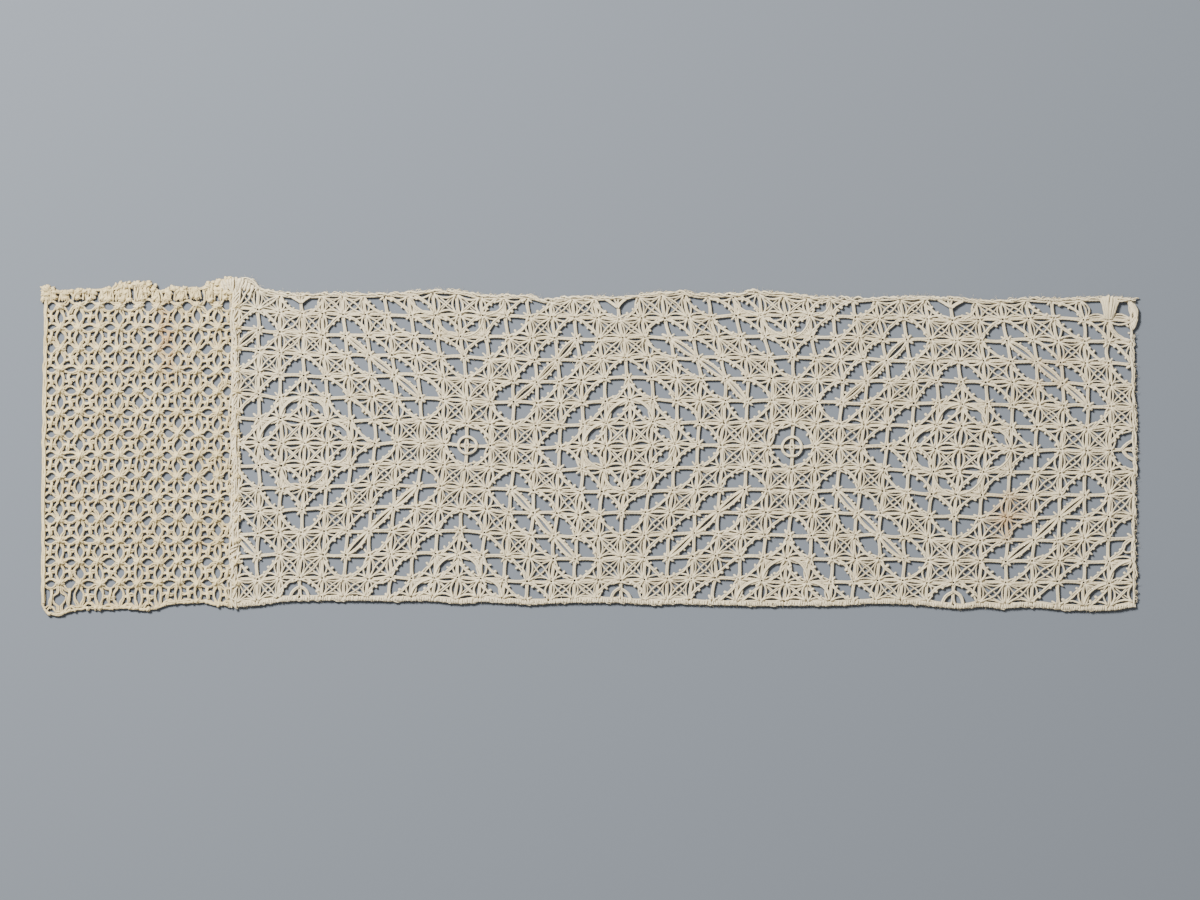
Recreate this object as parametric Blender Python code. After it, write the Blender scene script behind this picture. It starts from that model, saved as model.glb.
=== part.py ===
"""A piece of bobbin lace: two lengths, one a close net and one a lattice of diamonds, laid flat and set edge
to edge where they are sewn together.

Each panel starts as a flat chart, a grid with one square for each square of the lace. Its open corners are
inset and cut out, the sheet is extruded to a thickness, and every point is then laid where the threads lie.
Object coordinates are metres, +Z is up, and the underside is flat on z = 0. Tables are in millimetres.
"""

import math

import bmesh
import bpy
from mathutils import Vector, noise

MM = 0.001

# ---------------------------------------------------------------- driving sizes, in millimetres

SEAM_X = -112.4  # where the two lengths meet
SEAM_GAP = 0.3  # left between their edges for the sewing
THICK_PLAIT = 1.1  # along a bar
THICK_NODE = 1.45  # where bars cross
THICK_FILLED = 1.0  # the middle of a closed square
THICK_BAND = 1.6  # the buttonholed lower edge
THICK_CORD = 1.25  # the cords of the upper and right edges
THICK_SEAM = 1.9  # the overcast edges at the seam
WANDER = 0.30  # how far a crossing strays from its line

# ---------------------------------------------------------------- the diamond panel

COLUMNS = 38
ROWS = 14
ROWS_MEASURED = (1, 4, 7, 10, 13)
CORD_WIDTH = 1.0  # beyond row line 0 and column line 38
BAND_WIDTH = 1.7  # beyond row line 14

# column line, then its x at each measured row line
COLUMN_X = (
    (0, -112.3, -112.4, -112.4, -112.4, -112.6),
    (3, -91.8, -91.5, -90.7, -91.6, -92.3),
    (7, -64.4, -62.0, -61.0, -62.6, -63.5),
    (10, -41.5, -39.3, -39.0, -40.7, -42.2),
    (14, -11.7, -9.6, -9.3, -10.5, -12.1),
    (17, 9.6, 12.4, 12.8, 10.5, 10.2),
    (21, 39.3, 43.3, 42.5, 41.5, 40.0),
    (24, 62.9, 65.6, 64.9, 64.2, 62.6),
    (28, 92.6, 95.8, 94.9, 93.2, 92.0),
    (31, 116.2, 118.8, 118.5, 116.6, 116.2),
    (35, 148.5, 151.4, 150.7, 150.1, 149.8),
    (38, 172.8, 173.7, 174.0, 173.8, 174.0),
)

# column line, then the y of each measured row line there
ROW_Y = (
    (0, 44.2, 24.8, 1.3, -20.9, -42.3),
    (3, 42.6, 22.5, 1.1, -20.4, -42.0),
    (7, 41.7, 22.7, 1.1, -19.4, -42.0),
    (10, 42.0, 21.6, 0.5, -20.0, -42.0),
    (14, 41.4, 20.7, -0.2, -21.5, -43.0),
    (17, 41.0, 21.8, 0.4, -21.5, -42.6),
    (21, 41.4, 21.6, 0.4, -20.8, -42.0),
    (24, 42.0, 21.6, 0.0, -21.2, -43.3),
    (28, 41.0, 20.9, -0.2, -21.2, -43.0),
    (31, 40.4, 20.6, -0.8, -22.5, -43.3),
    (35, 40.7, 20.0, -1.1, -22.8, -43.3),
    (38, 40.1, 19.3, -1.1, -22.2, -43.6),
)

# x, then the y of the upper and the lower outline there
DIAMOND_OUTLINE = (
    (-112.4, 53.8, -51.4),
    (-107.6, 53.4, -51.0),
    (-104.4, 50.6, -50.6),
    (-95.5, 49.0, -49.5),
    (-82.7, 49.0, -49.3),
    (-60.4, 49.0, -49.5),
    (-50.8, 50.0, -49.4),
    (-41.2, 49.7, -50.3),
    (-33.2, 48.4, -49.7),
    (-18.8, 48.2, -50.6),
    (-12.5, 46.9, -50.3),
    (-6.1, 48.0, -50.0),
    (9.9, 48.0, -50.0),
    (19.5, 49.0, -50.6),
    (29.1, 49.7, -50.3),
    (35.4, 48.7, -50.6),
    (48.2, 49.0, -50.9),
    (52.1, 49.9, -51.0),
    (67.4, 48.4, -50.9),
    (80.2, 47.7, -50.9),
    (89.7, 47.4, -50.3),
    (105.7, 48.0, -50.7),
    (118.5, 47.4, -51.9),
    (124.9, 46.8, -51.3),
    (131.3, 46.8, -51.9),
    (140.8, 47.4, -51.3),
    (150.4, 47.3, -52.2),
    (166.4, 47.7, -52.5),
    (174.0, 47.2, -51.3),
)

# One quarter of a medallion and of the diamonds round it, which the panel mirrors and repeats.
# a b c d: a triangle of netting in one corner, open beyond. S: star. D: two slanting plaits.
# Q: quarter ring. W: quarter of a wheel, open outside its ring. P: petals.
QUARTER_CHART = (
    "WSSabQP",
    "ScbSabQ",
    "SaDbSab",
    "bSaDbSa",
    "abSaDbS",
    "QabSadS",
    "PQabSSW",
)
QUARTER = len(QUARTER_CHART)
FIRST_MEDALLION = 3  # its column line

# square, then its filled corner (or the one that its wheel turns about), as x and y within the square
CORNER = {"a": (0, 0), "b": (1, 1), "c": (0, 1), "d": (1, 0)}

# A gap's corners in a square whose filled corner is (0, 0): by that corner, then round to the next.
TRIANGLE_GAP = ((0.53, 0.53), (0.90, 0.19), (0.88, 0.88), (0.19, 0.90))
WHEEL_GAP = ((0.41, 0.41), (0.90, 0.13), (0.67, 0.67), (0.13, 0.90))

# ---------------------------------------------------------------- the net panel

NET_COLUMNS = 10
NET_ROWS = 15
NET_LEFT = -169.0  # the first column of knots
NET_PITCH_X = 6.30
NET_TOP = 44.9  # the first row of knots
NET_PITCH_Y = 6.81

# x, then the y of the upper and the lower outline there
NET_OUTLINE = (
    (-175.0, 47.6, -50.3),
    (-173.4, 50.4, -53.5),
    (-172.0, 51.2, -54.1),
    (-168.9, 50.0, -54.1),
    (-162.5, 50.3, -52.2),
    (-153.0, 50.9, -52.2),
    (-149.8, 52.2, -51.9),
    (-140.2, 52.5, -52.5),
    (-137.0, 50.0, -51.6),
    (-133.8, 51.2, -50.6),
    (-124.2, 50.9, -50.0),
    (-121.0, 52.5, -50.9),
    (-114.6, 54.1, -51.2),
    (-112.4, 54.1, -51.4),
)

# y, then the x of the left outline there
NET_LEFT_EDGE = ((-50.3, -175.0), (-34.3, -175.0), (0.0, -174.7), (30.8, -174.3), (49.7, -174.0))


# ---------------------------------------------------------------- helpers


def remove_startup_objects():
    for thing in list(bpy.data.objects):
        bpy.data.objects.remove(thing)


def smooth(knots, values, at):
    """The value at a place on the smooth curve that passes through the knots."""
    last = len(knots) - 1
    i = min(max(sum(knot <= at for knot in knots) - 1, 0), last - 1)

    def slope(k):
        before, after = max(k - 1, 0), min(k + 1, last)
        return (values[after] - values[before]) / (knots[after] - knots[before])

    width = knots[i + 1] - knots[i]
    t = (at - knots[i]) / width
    if t < 0.0 or t > 1.0:
        end = 0 if t < 0.0 else last
        return values[end] + slope(end) * (at - knots[end])
    return (
        (2 * t**3 - 3 * t**2 + 1) * values[i]
        + (t**3 - 2 * t**2 + t) * width * slope(i)
        + (3 * t**2 - 2 * t**3) * values[i + 1]
        + (t**3 - t**2) * width * slope(i + 1)
    )


def column_of(table, number):
    return [row[number] for row in table]


def wander(u, v):
    """A small sideways drift, the same for points that lie close together."""
    along_x = noise.noise(Vector((0.83 * u, 0.83 * v, 5.5)))
    along_y = noise.noise(Vector((0.83 * u, 0.83 * v, 25.5)))
    return WANDER * along_x, WANDER * along_y


def corner_of(letter, column_of_quarter):
    """The filled corner of a square in the quarter chart, as x and y within the square."""
    if letter == "W":
        return (0, 1) if column_of_quarter == 0 else (1, 0)
    return CORNER[letter]


def square_at(column, row):
    """The letter of a square of the diamond panel, and its filled corner once mirrored."""
    across = (column + 0.5 - FIRST_MEDALLION) % (2 * QUARTER)
    mirrored_x = across > QUARTER
    if mirrored_x:
        across = 2 * QUARTER - across
    up = QUARTER - (row + 0.5)
    i, j = int(across), int(abs(up))
    letter = QUARTER_CHART[QUARTER - 1 - j][i]
    if letter not in "abcdW":
        return letter, None
    x, y = corner_of(letter, i)
    # Within the panel's chart y runs down, so a square of the upper half is turned over.
    return letter, (1 - x if mirrored_x else x, 1 - y if up > 0 else y)


# ---------------------------------------------------------------- where chart points lie


def diamond_place(u, v):
    """Where the point at column line u and row line v of the diamond panel lies."""
    lines = column_of(COLUMN_X, 0)
    inner_u = min(max(u, 0.0), COLUMNS)
    inner_v = min(max(v, 0.0), ROWS)
    xs = [smooth(lines, column_of(COLUMN_X, n + 1), inner_u) for n in range(len(ROWS_MEASURED))]
    ys = [smooth(lines, column_of(ROW_Y, n + 1), inner_u) for n in range(len(ROWS_MEASURED))]
    x = smooth(ROWS_MEASURED, xs, inner_v)
    x += CORD_WIDTH * max(u - COLUMNS, 0.0)
    outline_x = column_of(DIAMOND_OUTLINE, 0)
    upper = smooth(outline_x, column_of(DIAMOND_OUTLINE, 1), x)
    lower = smooth(outline_x, column_of(DIAMOND_OUTLINE, 2), x)
    if v <= 1.0:
        first = upper - CORD_WIDTH
        y = first + (ys[0] - first) * inner_v + (upper - first) * max(-v, 0.0)
    elif v >= ROWS - 1.0:
        last = lower + BAND_WIDTH
        y = ys[-1] + (last - ys[-1]) * (inner_v - ROWS + 1) + (lower - last) * max(v - ROWS, 0.0)
    else:
        y = smooth(ROWS_MEASURED, ys, v)
    inside = min(u, COLUMNS - u, v, ROWS - v)
    if inside > 0.0:
        dx, dy = wander(u, v)
        x, y = x + dx * min(inside, 1.0), y + dy * min(inside, 1.0)
    if u <= 0.0:
        x = SEAM_X + 0.5 * SEAM_GAP
    return x, y


def net_place(u, v):
    """Where the point at knot column u and knot row v of the net panel lies."""
    column, row = min(max(u, 0.0), NET_COLUMNS - 2), min(max(v, 0.0), NET_ROWS - 2)
    x = NET_LEFT + NET_PITCH_X * column
    y = NET_TOP - NET_PITCH_Y * row
    if u < 0.0:
        edge = smooth(column_of(NET_LEFT_EDGE, 0), column_of(NET_LEFT_EDGE, 1), y)
        x += (edge - NET_LEFT) * -u
    if u > NET_COLUMNS - 2:
        x += (SEAM_X - 0.5 * SEAM_GAP - x) * (u - NET_COLUMNS + 2)
    outline_x = column_of(NET_OUTLINE, 0)
    if v < 0.0:
        y += (smooth(outline_x, column_of(NET_OUTLINE, 1), x) - y) * -v
    if v > NET_ROWS - 2:
        y += (smooth(outline_x, column_of(NET_OUTLINE, 2), x) - y) * (v - NET_ROWS + 2)
    if 0.0 <= u <= NET_COLUMNS - 2 and 0.0 <= v <= NET_ROWS - 2:
        dx, dy = wander(u + 50.0, v)
        x, y = x + dx, y + dy
    return x, y


# ---------------------------------------------------------------- how thick the lace is


def near(distance, reach):
    """1 at the place itself, falling smoothly to 0 at the reach."""
    return max(0.0, 1.0 - (distance / reach) ** 2)


def lattice_thickness(u, v):
    """Thick where bars cross, thinner along them, thinnest in the middle of a square."""
    du, dv = abs(u - round(u)), abs(v - round(v))
    crossing = near(math.hypot(du, dv), 0.3)
    bar = near(min(du, dv), 0.45)
    return THICK_FILLED + (THICK_PLAIT - THICK_FILLED) * bar + (THICK_NODE - THICK_PLAIT) * crossing


def diamond_thickness(u, v):
    thick = lattice_thickness(u, v)
    if v >= ROWS:
        thick = THICK_BAND
    if v <= 0.0 or u >= COLUMNS:
        thick = THICK_CORD
    if u <= 0.0:
        thick = THICK_SEAM
    return thick


def net_thickness(u, v):
    thick = lattice_thickness(u, v)
    if u >= NET_COLUMNS - 1:
        thick = THICK_SEAM
    elif u <= -1.0 or v <= -1.0 or v >= NET_ROWS - 1:
        thick = THICK_BAND
    return thick


# ---------------------------------------------------------------- building a panel


def chart_grid(u_lines, v_lines):
    """A flat grid whose lines lie at the given chart places."""
    grid = bmesh.new()
    across, down = len(u_lines) - 1, len(v_lines) - 1
    bmesh.ops.create_grid(grid, x_segments=across, y_segments=down, size=0.5)
    for vertex in grid.verts:
        vertex.co.x = u_lines[round((vertex.co.x + 0.5) * across)]
        vertex.co.y = v_lines[round((vertex.co.y + 0.5) * down)]
    return grid


def cut_gap(sheet, square, corner, gap):
    """Insets one square, moves its inner corners to the gap's and takes out what is inside."""
    middle = square.calc_center_median()
    column, row = math.floor(middle.x), math.floor(middle.y)
    bmesh.ops.inset_individual(sheet, faces=[square], thickness=0.1)
    for vertex in square.verts:
        along_x = (vertex.co.x > middle.x) != (corner[0] == 1)
        along_y = (vertex.co.y > middle.y) != (corner[1] == 1)
        x, y = gap[{(False, False): 0, (True, False): 1, (True, True): 2, (False, True): 3}[along_x, along_y]]
        vertex.co.x = column + (1 - x if corner[0] else x)
        vertex.co.y = row + (1 - y if corner[1] else y)
    bmesh.ops.delete(sheet, geom=[square], context="FACES")


def close_square(sheet, square):
    """Gives a closed square a point in its middle, so that it can sink between its bars."""
    bmesh.ops.poke(sheet, faces=[square])


def halve_outline(sheet):
    """Adds a point halfway along each edge of the outline."""
    left, right = min(v.co.x for v in sheet.verts), max(v.co.x for v in sheet.verts)
    low, high = min(v.co.y for v in sheet.verts), max(v.co.y for v in sheet.verts)
    rim = []
    for edge in sheet.edges:
        middle = (edge.verts[0].co + edge.verts[1].co) / 2
        inside = min(middle.x - left, right - middle.x, middle.y - low, high - middle.y)
        if edge.is_boundary and inside < 0.01:
            rim.append(edge)
    bmesh.ops.subdivide_edges(sheet, edges=rim, cuts=1)


def place_in_order(face):
    """A number that differs for each face, so that faces are stored in the same order every time."""
    return face.calc_center_median().dot(Vector((1.0, 31.0, 977.0)))


def thicken_and_lay(sheet, place, thickness):
    """Extrudes the chart, gives each upper point its thickness and lays all points in their places."""
    raised = bmesh.ops.extrude_face_region(sheet, geom=sheet.faces[:])
    for vertex in (item for item in raised["geom"] if isinstance(item, bmesh.types.BMVert)):
        vertex.co.z = thickness(vertex.co.x, vertex.co.y) * MM
    for vertex in sheet.verts:
        x, y = place(vertex.co.x, vertex.co.y)
        vertex.co.x, vertex.co.y = x * MM, y * MM
    bmesh.ops.recalc_face_normals(sheet, faces=sheet.faces[:])
    sheet.faces.sort(key=place_in_order)


def diamond_sheet():
    sheet = chart_grid(
        [float(n) for n in range(COLUMNS + 2)], [float(n) for n in range(-1, ROWS + 2)]
    )
    for square in sheet.faces[:]:
        middle = square.calc_center_median()
        column, row = math.floor(middle.x), math.floor(middle.y)
        if column >= COLUMNS or not 0 <= row < ROWS:
            continue
        letter, corner = square_at(column, row)
        if corner is None:
            close_square(sheet, square)
        else:
            cut_gap(sheet, square, corner, WHEEL_GAP if letter == "W" else TRIANGLE_GAP)
    halve_outline(sheet)
    thicken_and_lay(sheet, diamond_place, diamond_thickness)
    return sheet


def net_sheet():
    sheet = chart_grid(
        [float(n) for n in range(-1, NET_COLUMNS)], [float(n) for n in range(-1, NET_ROWS)]
    )
    bmesh.ops.poke(sheet, faces=sheet.faces[:])
    halve_outline(sheet)
    thicken_and_lay(sheet, net_place, net_thickness)
    return sheet


def linen(name, color, roughness):
    material = bpy.data.materials.new(name)
    material.use_nodes = True
    shader = material.node_tree.nodes["Principled BSDF"]
    shader.inputs["Base Color"].default_value = (*color, 1.0)
    shader.inputs["Roughness"].default_value = roughness
    shader.inputs["Metallic"].default_value = 0.0
    return material


def panel(name, sheet, material):
    mesh = bpy.data.meshes.new(name)
    sheet.to_mesh(mesh)
    sheet.free()
    thing = bpy.data.objects.new(name, mesh)
    mesh.materials.append(material)
    bpy.context.scene.collection.objects.link(thing)
    return thing


def centre_on_origin(things):
    """Moves the panels together so that the origin is under the middle of their box."""
    points = [vertex.co for thing in things for vertex in thing.data.vertices]
    shift = Vector(
        (
            -(min(p.x for p in points) + max(p.x for p in points)) / 2,
            -(min(p.y for p in points) + max(p.y for p in points)) / 2,
            0.0,
        )
    )
    for thing in things:
        for vertex in thing.data.vertices:
            vertex.co += shift


def main():
    remove_startup_objects()
    panels = [
        panel("net_panel", net_sheet(), linen("creamy_linen", (0.52, 0.45, 0.34), 0.85)),
        panel("diamond_panel", diamond_sheet(), linen("pale_linen", (0.55, 0.50, 0.42), 0.85)),
    ]
    centre_on_origin(panels)


main()
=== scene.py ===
# %% [markdown]
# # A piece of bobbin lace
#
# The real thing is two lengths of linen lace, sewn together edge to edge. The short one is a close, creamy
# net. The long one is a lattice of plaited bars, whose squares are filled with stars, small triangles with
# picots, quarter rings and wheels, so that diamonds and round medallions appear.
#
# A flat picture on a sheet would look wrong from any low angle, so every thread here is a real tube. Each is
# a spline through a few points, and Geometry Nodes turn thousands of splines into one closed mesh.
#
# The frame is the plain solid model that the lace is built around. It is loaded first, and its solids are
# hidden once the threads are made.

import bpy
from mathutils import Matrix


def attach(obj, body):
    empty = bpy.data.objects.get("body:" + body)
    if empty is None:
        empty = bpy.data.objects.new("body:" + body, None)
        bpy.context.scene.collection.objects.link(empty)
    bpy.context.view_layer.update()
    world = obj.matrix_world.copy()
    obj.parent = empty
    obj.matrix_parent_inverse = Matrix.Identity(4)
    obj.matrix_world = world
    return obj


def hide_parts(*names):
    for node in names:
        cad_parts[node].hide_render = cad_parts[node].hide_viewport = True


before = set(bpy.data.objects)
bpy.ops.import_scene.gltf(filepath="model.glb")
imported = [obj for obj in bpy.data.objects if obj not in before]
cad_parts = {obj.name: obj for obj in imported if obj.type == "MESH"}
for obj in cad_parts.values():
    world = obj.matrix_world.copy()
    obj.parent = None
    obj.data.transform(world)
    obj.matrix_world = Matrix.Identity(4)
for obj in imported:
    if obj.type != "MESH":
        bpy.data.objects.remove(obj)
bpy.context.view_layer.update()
print("nodes in the frame:", sorted(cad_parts))

# %% [markdown]
# ## Units and unevenness
#
# Object coordinates are metres, but lace is measured in millimetres, so tables and thread sizes are in
# millimetres, and MM turns them into metres at the last moment.
#
# Nothing made by hand is even. Random numbers would make neighbouring points jump about, which suits single
# threads but not a line that runs through many squares. Noise changes smoothly from place to place instead,
# and it is the same on every run.

# %% Modules, units and smooth noise
import math
import random
from bisect import bisect_right

import bpy
from mathutils import Vector, noise

MM = 0.001


def drift(x, y, layer):
    """Smooth noise from about -1 to 1. Two calls that use different layers do not repeat each other."""
    return noise.noise(Vector((x, y, layer)))


print("a drift and its neighbour:", round(drift(0.5, 0.5, 5.5), 2), round(drift(0.6, 0.5, 5.5), 2))

# %% [markdown]
# ## Where the threads lie
#
# Hand-made lace is never square. A maker's pricking, the pricked card under the work, gives each crossing its
# place, and washing and wear then pull the lines about. So the tables below say where a few column lines and
# row lines really lie, and a smooth curve through those knots gives every place between them.

# %% Sizes of the long panel
SEAM_X = -112.4  # where the two panels meet
SEAM_GAP = 0.3
COLUMNS = 38
ROWS = 14
CORD_WIDTH = 1.0  # of the upper and right edges
BAND_WIDTH = 1.35  # of the buttonholed lower edge
TO_CENTRE = (-0.0263, 0.0087)  # what brings the middle of the whole piece to the origin
COLUMN_LINES = (0, 3, 7, 10, 14, 17, 21, 24, 28, 31, 35, 38)
ROW_LINES = (1, 4, 7, 10, 13)

# x of each of those column lines, along each of those row lines
COLUMN_XS = (
    (-112.3, -91.8, -64.4, -41.5, -11.7, 9.6, 39.3, 62.9, 92.6, 116.2, 148.5, 172.8),
    (-112.4, -91.5, -62.0, -39.3, -9.6, 12.4, 43.3, 65.6, 95.8, 118.8, 151.4, 173.7),
    (-112.4, -90.7, -61.0, -39.0, -9.3, 12.8, 42.5, 64.9, 94.9, 118.5, 150.7, 174.0),
    (-112.4, -91.6, -62.6, -40.7, -10.5, 10.5, 41.5, 64.2, 93.2, 116.6, 150.1, 173.8),
    (-112.6, -92.3, -63.5, -42.2, -12.1, 10.2, 40.0, 62.6, 92.0, 116.2, 149.8, 174.0),
)

# y of each of those row lines, at each of those column lines
ROW_YS = (
    (44.2, 42.6, 41.7, 42.0, 41.4, 41.0, 41.4, 42.0, 41.0, 40.4, 40.7, 40.1),
    (24.8, 22.5, 22.7, 21.6, 20.7, 21.8, 21.6, 21.6, 20.9, 20.6, 20.0, 19.3),
    (1.3, 1.1, 1.1, 0.5, -0.2, 0.4, 0.4, 0.0, -0.2, -0.8, -1.1, -1.1),
    (-20.9, -20.4, -19.4, -20.0, -21.5, -21.5, -20.8, -21.2, -21.2, -22.5, -22.8, -22.2),
    (-42.3, -42.0, -42.0, -42.0, -43.0, -42.6, -42.0, -43.3, -43.0, -43.3, -43.3, -43.6),
)

# x, then the y of the upper and the lower outline there
DIAMOND_OUTLINE = (
    (-112.4, 53.8, -51.4), (-107.6, 53.4, -51.0), (-104.4, 50.6, -50.6), (-95.5, 49.0, -49.5),
    (-82.7, 49.0, -49.3), (-60.4, 49.0, -49.5), (-50.8, 50.0, -49.4), (-41.2, 49.7, -50.3),
    (-33.2, 48.4, -49.7), (-18.8, 48.2, -50.6), (-12.5, 46.9, -50.3), (-6.1, 48.0, -50.0),
    (9.9, 48.0, -50.0), (19.5, 49.0, -50.6), (29.1, 49.7, -50.3), (35.4, 48.7, -50.6),
    (48.2, 49.0, -50.9), (52.1, 49.9, -51.0), (67.4, 48.4, -50.9), (80.2, 47.7, -50.9),
    (89.7, 47.4, -50.3), (105.7, 48.0, -50.7), (118.5, 47.4, -51.9), (124.9, 46.8, -51.3),
    (131.3, 46.8, -51.9), (140.8, 47.4, -51.3), (150.4, 47.3, -52.2), (166.4, 47.7, -52.5),
    (174.0, 47.2, -51.3),
)
OUTLINE_X, UPPER_Y, LOWER_Y = zip(*DIAMOND_OUTLINE)
print("squares:", COLUMNS, "by", ROWS, "and measured crossings:", len(COLUMN_LINES) * len(ROW_LINES))

# %% [markdown]
# A curve through knots can be had from a Blender curve too, but then each point has to be looked up on it. A
# Hermite curve is four short terms, and it can be asked for any place directly.

# %% A smooth curve through knots
def smooth(knots, values, at):
    """The value at a place on the smooth curve through the knots, which runs straight on beyond them."""
    last = len(knots) - 1
    i = min(max(bisect_right(knots, at) - 1, 0), last - 1)

    def slope(k):
        before, after = max(k - 1, 0), min(k + 1, last)
        return (values[after] - values[before]) / (knots[after] - knots[before])

    width = knots[i + 1] - knots[i]
    t = (at - knots[i]) / width
    if t < 0.0 or t > 1.0:
        end = 0 if t < 0.0 else last
        return values[end] + slope(end) * (at - knots[end])
    return (
        (2 * t**3 - 3 * t**2 + 1) * values[i]
        + (t**3 - 2 * t**2 + t) * width * slope(i)
        + (3 * t**2 - 2 * t**3) * values[i + 1]
        + (t**3 - t**2) * width * slope(i + 1)
    )


print("column line 19 at mid height:", round(smooth(COLUMN_LINES, COLUMN_XS[2], 19), 2), "mm")

# %% [markdown]
# The lace is worked on a chart of squares, and it is much easier to draw a star there than in millimetres. So
# one function turns a chart place, a column line and a row line counted from the upper left, into a place on
# the table. It could be a Lattice modifier, but a function can be asked before there is anything to bend.
#
# Crossings also stray a little, and a bundle of threads near the upper right corner has pulled its neighbours
# to the right.

# %% From a chart place to a place in the long panel
WANDER = 0.50  # how far a crossing strays from its line
WANDER_SCALE = 0.83
PULL = 1.35  # how far the drawn bundle has pulled the crossings near it
PULLED_COLUMN = 36.6
PULLED_ROW = 1.0
PULL_REACH = (1.6, 1.5)  # in squares, across and down


def near(distance, reach):
    """1 at the place itself, falling smoothly to 0 at the reach."""
    return max(0.0, 1.0 - (distance / reach) ** 2)


def wander(u, v):
    """A small sideways drift, the same for points that lie close together."""
    u, v = WANDER_SCALE * u, WANDER_SCALE * v
    return WANDER * drift(u, v, 5.5), WANDER * drift(u, v, 25.5)


def diamond_place(u, v):
    """Where the point at column line u and row line v of the long panel lies."""
    inner_u, inner_v = min(max(u, 0.0), COLUMNS), min(max(v, 0.0), ROWS)
    xs = [smooth(COLUMN_LINES, line, inner_u) for line in COLUMN_XS]
    ys = [smooth(COLUMN_LINES, line, inner_u) for line in ROW_YS]
    x = smooth(ROW_LINES, xs, inner_v)
    x += CORD_WIDTH * max(u - COLUMNS, 0.0)
    x += PULL * near(v - PULLED_ROW, PULL_REACH[1]) * near(u - PULLED_COLUMN, PULL_REACH[0])
    upper, lower = smooth(OUTLINE_X, UPPER_Y, x), smooth(OUTLINE_X, LOWER_Y, x)
    if v <= 1.0:
        first = upper - CORD_WIDTH
        y = first + (ys[0] - first) * inner_v + (upper - first) * max(-v, 0.0)
    elif v >= ROWS - 1.0:
        last = lower + BAND_WIDTH
        y = ys[-1] + (last - ys[-1]) * (inner_v - ROWS + 1) + (lower - last) * max(v - ROWS, 0.0)
    else:
        y = smooth(ROW_LINES, ys, v)
    inside = min(u, COLUMNS - u, v, ROWS - v)
    if inside > 0.0:
        dx, dy = wander(u, v)
        x, y = x + dx * min(inside, 1.0), y + dy * min(inside, 1.0)
    return x + TO_CENTRE[0], y + TO_CENTRE[1]


print("the crossing of lines 10 and 7 lies at", [round(c, 2) for c in diamond_place(10, 7)], "mm")

# %% [markdown]
# ## The chart of fillings
#
# One quarter of a medallion, and of the diamonds round it, is charted as letters, one for each
# square. Mirroring it across and down, and repeating it every fourteen columns, gives the whole panel, just
# as a lace maker repeats a pricking.
#
# * a, b, c, d: a triangle of threads in one corner, open beyond it
# * S: star, D: two slanting plaits, Q: quarter ring, W: quarter of a wheel, P: petals

# %% The chart
QUARTER_CHART = (
    "WSSabQP",
    "ScbSabQ",
    "SaDbSab",
    "bSaDbSa",
    "abSaDbS",
    "QabSadS",
    "PQabSSW",
)
QUARTER = len(QUARTER_CHART)
FIRST_MEDALLION = 3  # the column line through its middle
CORNER = {"a": (0, 0), "b": (1, 1), "c": (0, 1), "d": (1, 0)}  # x to the right and y up


def corner_of(letter, i, j):
    """The corner that a filling is built about, in the quarter chart, as x and y within the square."""
    if letter in "SP":
        return 0, 0
    if letter == "D":
        return 0, 1
    if letter == "Q":
        return (0, 0) if i + j < QUARTER - 1 else (1, 1)
    if letter == "W":
        return (0, 1) if i == 0 else (1, 0)
    return CORNER[letter]


def square_at(column, row):
    """The letter of a square of the long panel and the corner that it is built about, with y down."""
    across = (column + 0.5 - FIRST_MEDALLION) % (2 * QUARTER)
    mirrored = across > QUARTER
    if mirrored:
        across = 2 * QUARTER - across
    up = QUARTER - (row + 0.5)
    i, j = int(across), int(abs(up))
    letter = QUARTER_CHART[QUARTER - 1 - j][i]
    x, y = corner_of(letter, i, j)
    return letter, (1 - x if mirrored else x, 1 - y if up > 0 else y)


SQUARES = [(column, row, *square_at(column, row)) for column in range(COLUMNS) for row in range(ROWS)]
print(len(SQUARES), "squares:", {k: sum(s[2] == k for s in SQUARES) for k in "abcdSDQWP"})

# %% [markdown]
# ## From splines to threads
#
# A curve's own bevel can make a tube, but its end caps are not joined to its sides. The Curve to Mesh node
# gives closed tubes, takes each point's radius, and lets the length along the thread be stored as a UV map,
# which later places the twist of the yarn. A Capture Attribute node keeps such a measure on the points of a
# curve, because the mesh that follows no longer has splines to measure.

# %% A node group that spins threads
def feed(tree, kind, inputs):
    """The outputs of a new node. Its inputs are wired to other outputs, or take plain values."""
    node = tree.nodes.new(kind)
    for name, value in inputs.items():
        if isinstance(value, bpy.types.NodeSocket):
            tree.links.new(value, node.inputs[name])
        else:
            node.inputs[name].default_value = value
    return node.outputs


def measured(tree, shape, name, measure):
    """A curve that keeps a measure of its spline on each of its points, and that measure."""
    keep = tree.nodes.new("GeometryNodeCaptureAttribute")
    keep.capture_items.new("FLOAT", name)
    tree.links.new(shape, keep.inputs["Geometry"])
    tree.links.new(feed(tree, "GeometryNodeSplineParameter", {})[measure], keep.inputs[name])
    return keep.outputs["Geometry"], keep.outputs[name]


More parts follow.
